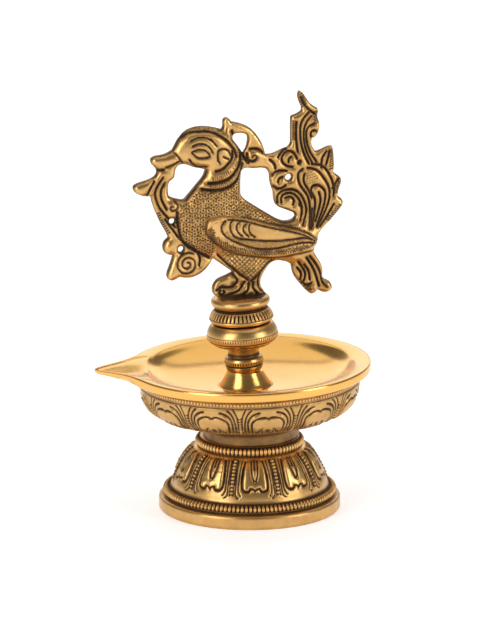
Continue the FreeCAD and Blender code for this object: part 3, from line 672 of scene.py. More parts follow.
# ---------------------------------------------------------------- bird: outlines in the XZ plane
OUTLINE = [
    [(-14.0, 100.4), (-17.2, 102.2), (-17.8, 104.2), (-17.4, 106.6), (-15.3, 109.2), (-11.5, 110.8),
     (-8.3, 112.3)],
    [(-8.3, 112.3), (-17.7, 119.2)],
    [(-17.7, 119.2), (-20.0, 115.6), (-24.0, 112.2), (-29.0, 110.7), (-33.5, 111.4)],
    [(-33.5, 111.4), (-35.2, 110.5), (-37.6, 110.0), (-39.1, 111.2), (-38.4, 115.8), (-36.4, 122.0)],
    [(-36.4, 122.0), (-38.5, 122.2), (-40.4, 123.4), (-41.2, 125.8), (-40.6, 128.2), (-38.6, 130.2)],
    [(-38.6, 130.2), (-39.8, 132.8), (-42.0, 136.8), (-44.2, 141.7), (-46.1, 146.8), (-46.8, 150.0)],
    [(-46.8, 150.0), (-49.6, 150.1), (-52.4, 151.0), (-54.6, 152.8), (-54.9, 154.8), (-52.9, 156.2),
     (-49.8, 157.1), (-46.8, 158.1), (-44.8, 159.2)],
    [(-44.8, 159.2), (-44.0, 160.6), (-44.2, 162.2), (-45.0, 163.6)],
    [(-45.0, 163.6), (-46.5, 165.3), (-46.6, 167.2), (-45.2, 168.3), (-42.0, 168.8), (-39.2, 169.5),
     (-36.5, 170.9)],
    [(-36.5, 170.9), (-34.6, 174.4), (-32.4, 177.8), (-29.6, 179.9), (-26.0, 181.0), (-22.0, 181.2),
     (-17.1, 180.4), (-13.4, 179.3)],
    [(-13.4, 179.3), (-12.8, 180.8), (-12.9, 182.6), (-12.2, 184.3), (-11.2, 184.8), (-9.9, 184.1),
     (-8.8, 182.7)],
    [(-8.8, 182.7), (-5.5, 181.9), (-2.6, 180.8), (0.2, 179.1), (2.6, 176.6), (4.5, 173.9), (5.9, 171.1),
     (7.3, 166.5)],
    [(7.3, 166.5), (10.2, 166.7), (13.1, 167.7), (16.0, 169.0), (18.4, 169.9), (19.2, 171.2)],
    [(19.2, 171.2), (19.2, 182.6)],
    [(19.2, 182.6), (19.6, 183.7), (20.6, 184.2), (22.2, 184.7), (24.3, 186.0)],
    [(24.3, 186.0), (24.2, 188.0), (23.3, 190.0), (22.7, 192.0), (22.6, 194.0), (23.4, 195.4)],
    [(23.4, 195.4), (24.7, 194.5), (25.9, 192.9), (27.1, 191.1), (28.4, 189.3), (30.2, 187.9), (31.8, 187.0)],
    [(31.8, 187.0), (32.2, 185.2), (31.9, 183.3), (32.6, 180.8), (32.9, 178.0), (32.4, 175.5), (31.2, 173.8),
     (29.3, 172.8)],
    [(29.3, 172.8), (29.1, 170.6), (29.9, 168.3), (31.2, 166.6)],
    [(31.2, 166.6), (33.0, 167.1), (35.2, 168.0), (37.6, 168.8), (39.0, 168.8)],
    [(39.0, 168.8), (39.5, 166.4), (39.8, 162.7), (39.9, 159.4), (39.5, 156.5)],
    [(39.5, 156.5), (40.9, 155.4), (42.8, 154.0), (43.4, 152.2), (42.7, 149.8), (42.0, 147.4), (41.8, 145.1)],
    [(41.8, 145.1), (43.1, 144.1), (44.1, 142.7), (44.2, 141.3), (43.3, 139.8), (40.9, 136.9), (37.9, 133.6),
     (35.2, 131.0), (33.3, 128.8), (32.3, 127.0)],
    [(32.3, 127.0), (32.0, 124.4), (30.8, 121.8), (30.2, 119.6)],
    [(30.2, 119.6), (32.1, 116.5), (33.8, 113.6), (34.6, 110.5), (34.5, 107.6)],
    [(34.5, 107.6), (35.5, 106.3), (37.2, 105.5), (38.7, 103.8), (39.2, 102.0), (38.3, 100.6), (36.0, 99.9),
     (33.8, 100.4), (32.3, 101.4)],
    [(32.3, 101.4), (30.8, 100.0), (29.1, 99.6), (27.2, 100.9), (25.3, 103.0), (23.6, 105.0), (21.9, 107.2),
     (20.5, 109.8), (19.9, 112.2), (19.5, 114.2)],
    [(19.5, 114.2), (17.8, 115.3), (15.4, 116.1), (12.4, 116.5), (9.8, 115.5), (7.8, 113.4), (6.1, 110.8),
     (5.0, 108.0), (5.0, 105.4), (6.2, 103.0), (7.8, 100.6)],
    [(7.8, 100.6), (-14.0, 100.4)],
]
NECK_GAP = [
    [(-4.3, 159.3), (-3.2, 160.5), (-1.0, 160.7), (1.6, 160.3), (5.1, 160.4), (7.6, 159.8)],
    [(7.6, 159.8), (8.8, 158.2), (9.3, 155.2), (9.9, 151.8), (11.0, 149.0)],
    [(11.0, 149.0), (11.1, 146.3), (11.7, 143.6), (13.2, 141.8), (15.7, 140.6), (18.8, 139.3), (20.9, 138.1),
     (21.4, 136.8), (20.4, 135.4), (18.4, 134.7), (16.1, 134.8), (13.0, 135.9), (9.6, 138.0), (5.8, 140.4),
     (2.6, 142.5), (-0.7, 144.7), (-3.0, 146.5), (-4.3, 148.3), (-4.7, 151.0), (-4.7, 155.0), (-4.3, 159.3)],
]
CREST_GAP = [
    [(-3.5, 167.9), (-5.1, 170.3), (-6.9, 172.8), (-8.2, 175.0), (-7.5, 176.6), (-5.6, 177.1), (-3.3, 176.9),
     (-1.6, 176.1), (-1.1, 174.4), (-1.4, 172.0), (-2.2, 169.6), (-3.5, 167.9)],
]
BEAK_GAP = [
    [(-35.2, 161.8), (-34.2, 163.4), (-31.5, 164.1), (-28.9, 163.4), (-26.5, 162.4), (-23.6, 161.8),
     (-21.0, 161.0)],
    [(-21.0, 161.0), (-22.0, 158.0), (-23.6, 155.9), (-25.4, 153.8), (-28.0, 150.7), (-30.9, 147.5)],
    [(-30.9, 147.5), (-34.1, 147.9), (-36.6, 148.8), (-38.3, 149.6)],
    [(-38.3, 149.6), (-38.8, 152.0), (-38.6, 154.8), (-37.9, 156.6), (-36.3, 157.7), (-35.5, 159.7),
     (-35.2, 161.8)],
]
WING = [
    [(31.8, 124.4), (29.6, 121.6), (25.5, 120.5), (19.5, 119.7), (13.0, 119.2), (7.0, 119.3), (0.0, 120.3),
     (-5.0, 121.2), (-9.8, 122.7), (-14.5, 125.2), (-18.5, 128.4), (-21.2, 131.7), (-22.2, 135.4),
     (-20.8, 138.8)],
    [(-20.8, 138.8), (-17.0, 139.9), (-11.8, 139.8), (-4.1, 138.5), (3.5, 136.3), (11.1, 134.0),
     (18.8, 132.1), (23.6, 130.6), (28.0, 128.2), (31.8, 124.4)],
]
ROUND_HOLES = [(18.2, 155.2, 1.5), (-36.9, 137.8, 1.3), (-32.8, 124.4, 1.4)]

# engraved lines, cut equally into both faces
HEAD_LINES = [
    [(-28.9, 175.4), (-26.3, 176.6), (-22.8, 176.9), (-19.3, 175.4), (-16.9, 172.7)],
    [(-28.0, 173.0), (-25.4, 174.0), (-22.3, 173.6), (-20.1, 172.0), (-18.8, 169.7)],
    [(-28.4, 170.2), (-25.4, 171.4), (-22.8, 171.0), (-20.2, 168.8)],
    [(-28.4, 170.0), (-26.3, 167.9), (-23.6, 167.2), (-20.1, 167.9)],
    [(-29.5, 166.8), (-27.6, 164.5), (-24.9, 163.1), (-21.2, 162.9)],
    [(-10.1, 168.0), (-11.2, 170.0), (-13.6, 171.0), (-15.8, 170.7), (-16.4, 168.7), (-16.2, 166.1),
     (-15.3, 164.4)],
    [(-13.6, 167.3), (-11.2, 166.1)],
    [(-35.9, 169.9), (-33.9, 167.4), (-31.9, 164.5)],
    [(-40.2, 163.4), (-36.7, 164.6), (-33.9, 166.1)],
]
DEEP_LINES = [
    [(-32.8, 176.7), (-30.2, 178.5), (-27.1, 179.2), (-23.6, 179.4), (-20.1, 179.1), (-16.6, 177.9),
     (-13.1, 175.7), (-10.1, 172.8), (-7.9, 169.6), (-7.2, 167.0)],
    [(-9.0, 169.7), (-9.4, 166.2), (-11.4, 163.7), (-14.4, 161.3), (-17.1, 160.6)],
    [(-5.0, 167.7), (-5.5, 164.3), (-7.5, 160.5), (-10.9, 157.2), (-15.8, 155.5), (-20.6, 155.1)],
    [(-4.4, 163.4), (-5.5, 159.1), (-8.8, 154.5), (-13.1, 152.4), (-17.9, 151.9), (-23.6, 152.7)],
    [(-44.6, 162.0), (-41.0, 162.3)],
    [(-35.0, 142.5), (-34.4, 134.5), (-32.4, 128.6), (-28.4, 124.8), (-24.0, 122.2), (-19.6, 120.0)],
    [(-9.0, 178.6), (-7.9, 176.2), (-5.6, 171.2), (-3.9, 167.4), (-1.0, 163.4)],
]
SCROLL_LINES = [
    [(-41.3, 158.7), (-43.7, 155.4), (-45.1, 152.0), (-44.6, 148.5), (-42.7, 144.1), (-39.4, 140.0),
     (-35.9, 135.5)],
    [(-40.5, 156.1), (-42.2, 153.1), (-42.4, 149.7), (-41.1, 146.2), (-39.8, 143.9)],
    [(-45.5, 157.2), (-47.2, 154.2), (-48.8, 150.9)],
    [(-40.5, 139.2), (-37.0, 134.3), (-33.8, 129.7), (-29.5, 126.3), (-25.5, 122.9), (-24.0, 119.6),
     (-24.4, 116.5)],
    [(-0.4, 169.7), (1.5, 169.8), (4.0, 169.1), (5.8, 167.6)],
    [(-1.8, 167.7), (-1.1, 164.7), (0.7, 164.1), (2.9, 165.6)],
    [(27.5, 185.3), (25.5, 183.1), (23.8, 179.9), (23.5, 176.3), (23.8, 172.0), (24.7, 167.9), (26.2, 164.2),
     (27.6, 161.3)],
    [(30.2, 179.9), (28.0, 178.9), (26.6, 176.9), (26.4, 173.2), (27.1, 169.6), (28.7, 165.9), (31.3, 161.8)],
    [(28.7, 173.8), (28.6, 175.6), (29.8, 176.8), (31.3, 176.2)],
    [(21.7, 181.0), (21.7, 171.5), (22.4, 167.0)],
    [(17.5, 167.8), (19.3, 167.5), (20.9, 166.0), (22.0, 163.8)],
    [(17.5, 167.8), (15.6, 166.3), (14.7, 164.2), (15.6, 162.0), (17.8, 160.6), (20.0, 160.1)],
    [(18.0, 162.6), (18.3, 164.2), (19.4, 165.0)],
    [(10.2, 156.5), (11.6, 158.2), (13.8, 158.8), (17.1, 158.4)],
    [(13.1, 153.4), (13.5, 154.9), (15.3, 155.8)],
    [(10.9, 151.4), (13.1, 150.4), (15.3, 150.8), (16.7, 151.8)],
    [(12.7, 143.6), (12.7, 146.6), (14.6, 149.0), (17.5, 149.7), (20.4, 149.4), (23.3, 147.4), (25.3, 144.2),
     (26.4, 140.4), (26.0, 136.6), (24.5, 132.9)],
    [(16.4, 145.7), (18.6, 146.3), (20.6, 144.2), (20.2, 142.4)],
    [(24.7, 158.9), (22.9, 157.2), (22.7, 153.9), (24.2, 150.3), (26.6, 147.0), (28.0, 142.0), (28.0, 131.0)],
    [(26.9, 159.3), (30.2, 158.6), (33.5, 155.9), (35.6, 152.9), (37.1, 149.9), (37.6, 146.6), (37.1, 143.0),
     (35.0, 137.6), (31.8, 131.2)],
    [(29.5, 150.7), (28.7, 148.9), (30.2, 145.1), (30.6, 140.9), (30.2, 136.4), (29.5, 131.8)],
    [(29.5, 150.7), (31.3, 151.1), (33.5, 150.1), (35.3, 147.8), (35.5, 144.9), (35.2, 142.8), (33.7, 138.0),
     (31.4, 131.7)],
    [(29.3, 140.0), (28.8, 131.0)],
    [(32.4, 147.6), (33.2, 144.6), (32.4, 139.6), (30.9, 134.0)],
    [(25.6, 156.6), (25.2, 153.4), (27.0, 149.6), (29.0, 145.2)],
    [(29.0, 161.0), (33.4, 160.2), (36.6, 157.0), (38.6, 153.0), (39.6, 148.6), (39.4, 145.4)],
    [(37.4, 166.8), (36.6, 163.0), (35.8, 160.2)],
    [(28.9, 183.4), (27.2, 181.6), (25.6, 178.4), (25.2, 174.6), (25.6, 170.4), (26.8, 166.4), (29.2, 161.6)],
    [(24.0, 192.6), (25.2, 189.4), (27.8, 186.4), (30.4, 184.4)],
    [(13.0, 165.0), (14.6, 167.4), (17.0, 168.8)],
    [(9.0, 164.2), (11.2, 162.0), (11.8, 159.8)],
    [(14.6, 143.6), (14.6, 146.2), (16.6, 148.0), (19.6, 147.8), (22.2, 145.8), (23.9, 142.4), (24.4, 138.8),
     (23.4, 135.0)],
    [(22.0, 112.6), (24.0, 109.6), (23.6, 106.8)],
    [(25.4, 113.9), (27.6, 110.4), (28.2, 106.6)],
    [(39.6, 141.6), (36.6, 136.6), (33.0, 131.4)],
    [(36.0, 166.6), (34.2, 163.8), (33.6, 159.1)],
    [(41.8, 153.6), (38.9, 149.1)],
    [(26.4, 117.3), (28.7, 113.7), (30.6, 109.8), (31.8, 106.0), (32.7, 103.2)],
    [(27.9, 117.9), (30.2, 115.1), (32.1, 112.0), (33.3, 108.9), (34.1, 105.6), (36.4, 102.6)],
    [(22.4, 115.6), (24.6, 112.6), (26.0, 109.0), (25.2, 106.0)],
    [(24.4, 105.6), (26.6, 104.2), (29.0, 105.0)],
    [(-15.6, 121.0), (-11.0, 116.4), (-6.4, 112.4), (-1.8, 108.6)],
    [(9.6, 117.2), (5.6, 113.8), (2.4, 110.6), (-0.4, 108.0)],
    [(-8.4, 111.4), (-6.8, 107.9), (-10.3, 105.6), (-14.2, 105.9), (-16.4, 104.4)],
    [(-3.2, 108.0), (-5.6, 104.4), (-10.0, 102.2), (-14.4, 101.9)],
    [(-14.6, 104.6), (-15.2, 103.2), (-13.7, 102.5), (-12.6, 103.4), (-13.4, 104.2)],
    [(-1.4, 107.4), (-1.6, 104.2), (-3.6, 101.6)],
    [(0.6, 107.6), (1.0, 104.4), (3.4, 101.4)],
    [(4.0, 112.0), (2.9, 107.4), (4.8, 103.2)],
]
WING_LINES = [
    [(-13.3, 137.8), (-15.1, 134.8), (-14.3, 132.0), (-11.7, 129.4), (-6.0, 126.5), (-0.3, 124.4),
     (6.6, 123.4), (13.1, 123.8), (19.5, 124.9), (24.5, 125.2), (29.5, 124.7)],
    [(-9.5, 138.4), (-11.0, 135.1), (-10.6, 132.8), (-8.6, 130.0), (-4.1, 128.8), (3.5, 127.6), (11.1, 127.1),
     (18.8, 127.2), (24.5, 127.4), (28.6, 126.4)],
    [(-3.4, 135.8), (-4.9, 134.0), (-4.1, 131.7), (-2.6, 130.0)],
    [(-6.4, 137.0), (-8.0, 134.6), (-7.3, 132.2), (-5.3, 130.2)],
    [(-1.8, 135.5), (-2.2, 133.4), (-1.4, 131.1), (0.5, 129.5)],
    [(-12.0, 138.4), (-4.1, 137.2), (3.5, 134.9), (11.1, 132.7), (18.8, 130.7), (25.0, 128.4), (29.6, 125.6)],
]
CHEST = [(-23.0, 152.4), (-18.0, 151.4), (-13.0, 151.9), (-8.8, 154.0), (-5.5, 158.5), (-4.6, 163.0),
         (-3.6, 150.0), (-2.5, 146.5), (2.6, 142.2), (9.6, 137.7), (16.0, 134.7), (24.0, 131.6),
         (18.8, 132.6), (11.1, 134.5), (3.5, 136.8), (-4.1, 139.0), (-11.8, 140.3), (-17.0, 140.5),
         (-21.6, 139.0), (-22.8, 135.4), (-21.8, 131.4), (-18.9, 128.0), (-17.4, 125.0), (-19.0, 120.6),
         (-23.5, 122.4), (-28.4, 125.4), (-31.8, 129.0), (-33.8, 134.5), (-34.6, 141.5), (-31.4, 147.6),
         (-28.0, 151.4)]
THIGH = [(-14.4, 124.6), (-9.8, 122.0), (-5.0, 120.4), (0.0, 119.6), (7.0, 118.6), (11.4, 118.2),
         (7.6, 115.2), (4.2, 111.6), (1.4, 108.8), (-2.2, 110.0), (-7.4, 114.2), (-12.4, 118.4)]
CREST_RIDGE = [(-33.6, 175.6), (-29.6, 179.5), (-22.0, 180.6), (-15.0, 179.2), (-9.6, 175.2), (-6.6, 170.6)]

VOXEL = 0.30
PAD = 2.0
WING_HALF = 8.0             # greatest half-thickness of the wing
PUNCH_PITCH, PUNCH_R = 2.5, 0.80


def run_points(runs, step=0.5):
    return np.concatenate([smooth_curve(run, step)[:-1] for run in runs])


class Plane:
    """Sampled maps over the bird's plane, from which its two faces are built."""

    def __init__(self):
        outline = run_points(OUTLINE)
        self.x = np.arange(outline[:, 0].min() - PAD, outline[:, 0].max() + PAD, VOXEL)
        self.z = np.arange(93.6, outline[:, 1].max() + PAD, VOXEL)
        self.X, self.Z = np.meshgrid(self.x, self.z, indexing="ij")

    def window(self, x0, x1, z0, z1, reach):
        i0, i1 = np.searchsorted(self.x, [min(x0, x1) - reach, max(x0, x1) + reach])
        k0, k1 = np.searchsorted(self.z, [min(z0, z1) - reach, max(z0, z1) + reach])
        return slice(i0, i1), slice(k0, k1)

    def near(self, lines, reach=2.5, step=0.5):
        """Distance to the nearest line, up to reach."""
        out = np.full(self.X.shape, float(reach))
        for line in lines:
            pts = smooth_curve(line, step) if len(line) < 60 else np.array(line)
            for (x0, z0), (x1, z1) in zip(pts[:-1], pts[1:]):
                w = self.window(x0, x1, z0, z1, reach)
                gx, gz = self.X[w], self.Z[w]
                dx, dz = x1 - x0, z1 - z0
                t = np.clip(((gx - x0) * dx + (gz - z0) * dz) / (dx * dx + dz * dz + 1e-9), 0, 1)
                np.minimum(out[w], np.hypot(gx - x0 - t * dx, gz - z0 - t * dz), out=out[w])
        return out

    def inside(self, loop):
        """True inside a closed loop, row by row."""
        loop = np.asarray(loop)
        a, b = loop, np.roll(loop, -1, 0)
        odd = np.zeros(self.X.shape, bool)
        for k, z in enumerate(self.z):
            hit = (a[:, 1] > z) != (b[:, 1] > z)
            xs = a[hit, 0] + (z - a[hit, 1]) / (b[hit, 1] - a[hit, 1]) * (b[hit, 0] - a[hit, 0])
            odd[:, k] = (np.sort(xs)[None, :] < self.x[:, None]).sum(1) % 2 == 1
        return odd

    def signed(self, loop, reach):
        """Depth inside a closed loop, negative outside."""
        closed = np.vstack([loop, loop[:1]])
        distance = self.near([closed], reach)
        return np.where(self.inside(loop), distance, -distance)

    def ellipse(self, x, z, half_x, half_y, half_z, turn=0.0):
        c, s = math.cos(math.radians(turn)), math.sin(math.radians(turn))
        dx, dz = self.X - x, self.Z - z
        u, v = (dx * c - dz * s) / half_x, (dx * s + dz * c) / half_z
        return half_y * np.sqrt(np.maximum(0, 1 - u * u - v * v))


def spiral(x, z, r_out, turns, start, sense=1):
    t = np.linspace(0, 1, int(26 * turns))
    angle = math.radians(start) + sense * 2 * math.pi * turns * t
    r = r_out * (1 - 0.86 * t)
    return [(x + a * math.cos(b), z + a * math.sin(b)) for a, b in zip(r, angle)]


def strokes(path, pitch, length, lean):
    """Short cuts across a path, one each pitch, leaning from its normal."""
    pts = smooth_curve(path, pitch)
    out = []
    for a, b in zip(pts[:-1], pts[1:]):
        t = (b - a) / np.linalg.norm(b - a)
        c, s = math.cos(math.radians(90 + lean)), math.sin(math.radians(90 + lean))
        d = np.array([t[0] * c - t[1] * s, t[0] * s + t[1] * c])
        jitter = 1 + 0.12 * rng.standard_normal()
        out.append([tuple(a), tuple(a + d * length * jitter)])
    return out


def blurred(values, cells):
    """Mean over a square of 2 * cells + 1 on a side."""
    out = values
    for axis in (0, 1):
        pad = [(0, 0), (0, 0)]
        pad[axis] = (cells + 1, cells)
        total = np.cumsum(np.pad(out, pad, mode="edge"), axis)
        high = np.take(total, range(2 * cells + 1, total.shape[axis]), axis)
        low = np.take(total, range(0, total.shape[axis] - 2 * cells - 1), axis)
        out = (high - low) / (2 * cells + 1)
    return out


def bird():
    plane = Plane()
    reach = 9.0
    depth = plane.signed(run_points(OUTLINE), reach)
    for gap in (NECK_GAP, CREST_GAP, BEAK_GAP):
        depth = np.minimum(depth, -plane.signed(run_points(gap), reach))
    for x, z, r in ROUND_HOLES:
        depth = np.minimum(depth, np.hypot(plane.X - x, plane.Z - z) - r)

    # how thick the casting is at each point, before engraving
    slab = np.full(depth.shape, 2.4)
    scroll = 2.4 + 0.8 * (1 - smooth_step(-35, -29, plane.X)) * smooth_step(103, 106, plane.Z)
    feet = 4.3 * smooth_step(-23, -19, plane.X) * (1 - smooth_step(8, 11, plane.X))
    feet = feet * (1 - smooth_step(104, 110, plane.Z))
    rounds = [
        plane.ellipse(-21.0, 171.0, 17.5, 5.8, 12.5), plane.ellipse(-38.0, 167.0, 10.5, 3.6, 4.4, 8),
        plane.ellipse(-12.5, 158.0, 13.0, 5.6, 15.0), plane.ellipse(-22.0, 140.0, 17.0, 6.4, 20.0, 12),
        plane.ellipse(4.0, 129.5, 33.0, 6.4, 15.0, 14), plane.ellipse(-1.0, 114.0, 12.0, 5.6, 11.0),
        plane.ellipse(1.2, 165.6, 4.6, 3.6, 4.6), plane.ellipse(-37.4, 144.9, 3.9, 4.1, 3.9),
        plane.ellipse(-38.8, 126.2, 3.4, 3.6, 3.8), plane.ellipse(36.4, 102.9, 3.2, 3.3, 3.2),
    ]
    power = 7
    thick = sum(layer ** power for layer in [slab, scroll, feet] + rounds) ** (1 / power)
    bend = np.minimum(0.8 * thick, 4.4)
    d = np.clip(depth, 0, bend)
    thick = thick - bend + np.sqrt(np.maximum(0, bend ** 2 - (bend - d) ** 2))

    wing_in = plane.signed(run_points(WING), 4.0)
    on_wing = (wing_in > 0) & (depth > 0)
    wing = np.minimum(plane.ellipse(4.0, 130.0, 44.0, 7.8, 22.0), 3.4 + 6 * smooth_step(0, 5, depth))
    step_up = np.sqrt(np.clip(1 - (1 - np.clip(wing_in, 0, 1.2) / 1.2) ** 2, 0, 1))
    rim = 0.45 * (1 - smooth_step(1.9, 2.7, wing_in)) * smooth_step(0, 1.0, wing_in)
    raised = np.maximum(thick, wing - 1.6) + 1.35 * step_up + rim
    thick = np.where(on_wing, np.minimum(raised, WING_HALF), thick)

    cut, dark = np.zeros(depth.shape), np.zeros(depth.shape)

    def carve(lines, amount, width, shade=1.0, spread=1.3, reach=2.2, valley=0.0):
        nonlocal cut, dark
        away = plane.near(lines, reach)
        trough = 0.72 * np.exp(-(away / width) ** 2) + valley * np.exp(-(away / (2.8 * width)) ** 2)
        cut = np.maximum(cut, amount * trough)
        dark = np.maximum(dark, shade * np.exp(-(away / (width * spread)) ** 2))
        dark = np.maximum(dark, 1.1 * valley * shade * np.exp(-away / (2.4 * width)))

    carve(HEAD_LINES, 0.75, 0.42, valley=0.30)
    carve(DEEP_LINES, 1.3, 0.55, reach=4.0, valley=0.45)
    carve(SCROLL_LINES, 1.15, 0.46, reach=4.0, valley=0.50)
    carve(WING_LINES, 0.75, 0.40, reach=3.0, valley=0.35)
    carve([spiral(-30.1, 117.5, 5.6, 2.1, 60), spiral(-37.2, 144.9, 2.8, 0.95, 70, -1),
           spiral(1.0, 166.0, 2.6, 0.9, 200)], 0.7, 0.42)
    long_barbs = [(-21.4, 134.0), (-19.6, 129.6), (-15.0, 126.2), (-9.8, 123.6), (-2.0, 121.7), (7.0, 120.7),
                  (15.0, 120.9), (23.0, 121.7), (28.0, 122.6)]
    carve(strokes(long_barbs, 1.15, 2.6, 28), 0.5, 0.30, 0.8)
    short_barbs = [(-13.6, 132.0), (-8.0, 128.0), (0.0, 125.6), (8.0, 124.4), (17.0, 125.3), (25.0, 125.8)]
    carve(strokes(short_barbs, 0.95, 2.0, -24), 0.32, 0.24, 0.55)
    fringe = []
    for path in ([(38.6, 167.4), (38.9, 162.0), (38.6, 157.6)], [(42.2, 153.2), (41.2, 149.4), (40.8, 146.2)],
                 [(43.0, 141.0), (40.0, 137.6), (36.2, 133.6)], [(31.0, 185.6), (30.8, 182.6), (31.4, 179.2)],
                 [(23.6, 194.0), (24.2, 190.4), (25.4, 187.4)]):
        fringe += strokes(path, 1.15, 1.7, 20)
        fringe += strokes(path, 1.15, -1.2, 20)
    fringe += strokes([(20.0, 181.6), (20.0, 172.4)], 0.95, 1.4, 0)
    fringe += strokes([(-44.6, 141.6), (-41.6, 135.6), (-38.8, 131.2)], 1.3, 1.6, 10)
    fringe += strokes([(25.4, 103.4), (28.8, 100.4), (31.4, 101.2)], 1.2, 2.0, 0)
    carve(fringe, 0.55, 0.30, 0.85)

    # ribbed neck bands
    for path in ([(-6.1, 169.5), (-6.8, 166.1), (-8.8, 162.7), (-11.8, 159.9), (-15.3, 158.1),
                  (-19.3, 157.4)],
                 [(-4.9, 165.4), (-6.4, 160.6), (-9.6, 156.4), (-14.6, 154.0), (-20.4, 153.6)]):
        away = plane.near([path], 1.6)
        cut = cut - 0.45 * np.exp(-(away / 0.95) ** 2)
        ribs = [[(2 * a[0] - b[0], 2 * a[1] - b[1]), tuple(b)] for a, b in strokes(path, 0.95, 1.05, 0)]
        carve(ribs, 0.42, 0.22, 0.7)

    # ring punches on neck, breast and back; a fine net on the thigh; stipple on the crest ridge
    chest = plane.inside(smooth_curve(CHEST + CHEST[:1], 0.8)[:-1]) & (depth > 0.7) & (wing_in < -0.3)
    ground = chest * smooth_step(0.5, 1.5, depth)
    ring_cut, ring_dark = 0.42 * ground, 0.72 * ground
    for row, z in enumerate(np.arange(117, 166, PUNCH_PITCH * 0.87)):
        for x in np.arange(-36 + (row % 2) * PUNCH_PITCH / 2, 27, PUNCH_PITCH):
            jx, jz = x + rng.normal(0, 0.10), z + rng.normal(0, 0.10)
            w = plane.window(jx, jx, jz, jz, 1.35)
            ro = np.hypot(plane.X[w] - jx, plane.Z[w] - jz)
            ring = np.exp(-((ro - PUNCH_R) / 0.31) ** 2) * ground[w]
            ring_cut[w] = ring_cut[w] * (1 - ring) - 0.10 * ring
            ring_dark[w] = ring_dark[w] * (1 - 0.92 * ring)
            core = np.exp(-(ro / 0.36) ** 2) * ground[w]
            ring_dark[w] = np.maximum(ring_dark[w], 0.85 * core)
    cut = np.where(ground > 0.5, np.maximum(cut, ring_cut) + np.minimum(ring_cut, 0), cut)
    dark = np.maximum(dark, ring_dark)
    thigh = plane.inside(smooth_curve(THIGH + THIGH[:1], 0.8)[:-1]) & (wing_in < -0.3)
    for slope in (0.9, -1.1):
        phase = (plane.Z - slope * plane.X) / math.hypot(1, slope) / 1.5
        net = np.exp(-(((phase % 1.0) - 0.5) * 1.5 / 0.3) ** 2)
        cut = np.maximum(cut, 0.34 * net * thigh)
        dark = np.maximum(dark, 0.62 * net * thigh)
    hatch = np.hypot((plane.X - 28.0) / 3.6, (plane.Z - 154.7) / 3.2) < 1
    for slope in (0.25, 12.0):
        phase = (plane.Z - slope * plane.X) / math.hypot(1, slope) / 1.2
        net = np.exp(-(((phase % 1.0) - 0.5) * 1.2 / 0.2) ** 2)
        cut = np.maximum(cut, 0.25 * net * hatch)
        dark = np.maximum(dark, 0.5 * net * hatch)
    ridge = smooth_curve(CREST_RIDGE, 0.85)
    for x, z in ridge:
        for _ in range(2):
            jx, jz = x + rng.normal(0, 0.3), z + rng.normal(0, 0.3)
            w = plane.window(jx, jx, jz, jz, 0.9)
            dot = np.exp(-(np.hypot(plane.X[w] - jx, plane.Z[w] - jz) / 0.32) ** 2)
            cut[w] = np.maximum(cut[w], 0.35 * dot)
            dark[w] = np.maximum(dark[w], 0.7 * dot)
    pit = np.exp(-(np.hypot(plane.X - 23.1, plane.Z - 162.2) / 1.25) ** 4)
    slot_pit = np.exp(-((plane.X - 23.2) / 0.8) ** 2 - ((plane.Z - 142.5) / 1.5) ** 2)
    cut = np.maximum(cut, 1.5 * np.maximum(pit, 0.6 * slot_pit))
    dark = np.maximum(dark, np.maximum(pit, slot_pit))
    halo = np.exp(-(np.clip(-wing_in, 0, 4) / 0.9) ** 2) * (wing_in < 0) * (plane.Z < 139)
    dark = np.maximum(dark, 0.8 * halo)

    height = np.maximum(thick - cut, 0.5)
    inside = depth > 0
    hollow = blurred(np.where(inside, height, 0), 6) / np.maximum(blurred(inside * 1.0, 6), 0.05) - height
    dark = np.maximum(dark, np.clip(0.62 * hollow, 0, 0.8))

    # solid: both faces, trimmed by the silhouette
    y = np.arange(-14.6, 14.6 + VOXEL, VOXEL)
    faces_field = np.abs(y)[None, :, None] - height[:, None, :]
    field = np.maximum(faces_field, -depth[:, None, :])

    # the plinth, turned on the leaning axis
    c, s = math.cos(math.radians(STACK_LEAN)), math.sin(math.radians(STACK_LEAN))
    px, pz = plane.X - STACK_FOOT_X, plane.Z - STACK_FOOT_Z
    local_x, local_z = px * c + pz * s, -px * s + pz * c + STACK_FOOT_Z
    shape = smooth_curve([(11.0, NOTCHED_TOP_Z), (12.4, 96.3), (13.5, 97.6), (13.6, 98.8), (12.9, 100.0),
                          (11.6, 100.7), (10.4, PLINTH_TOP_Z)], 0.2)
    radius = np.interp(local_z, shape[:, 1], shape[:, 0])
    round_r = np.hypot(local_x[:, None, :], y[None, :, None])
    disc = np.maximum(round_r - radius[:, None, :],
                      np.maximum(NOTCHED_TOP_Z - local_z, local_z - PLINTH_TOP_Z)[:, None, :])
    field = soft_min(field, disc, 0.7)

    limit = 3 * VOXEL
    grid = vdb.FloatGrid(limit)
    grid.copyFromArray(np.clip(field, -limit, limit).astype(np.float32))
    points, tris, quads = grid.convertToPolygons(isovalue=0.0, adaptivity=0.08)
    points = points * VOXEL + np.array([plane.x[0], y[0], plane.z[0]])
    faces = [list(f) for f in quads] + [list(f) for f in tris]

    i = np.clip(((points[:, 0] - plane.x[0]) / VOXEL).round().astype(int), 0, len(plane.x) - 1)
    k = np.clip(((points[:, 2] - plane.z[0]) / VOXEL).round().astype(int), 0, len(plane.z) - 1)
    on_face = smooth_step(0.35, 0.9, np.abs(points[:, 1]) / np.maximum(height[i, k], 0.5))
    shade = dark[i, k] * on_face + 0.40 * (1 - on_face)
    above = points[:, 2] > 101.6
    seam = 0.85 * np.exp(-((points[:, 2] - 101.4) / 0.9) ** 2) * (np.abs(points[:, 1]) < 10)
    shade = np.maximum(np.where(above, shade, 0.08), seam * (np.hypot(points[:, 0] + 4, points[:, 1]) < 11.2))
    return points, faces, shade


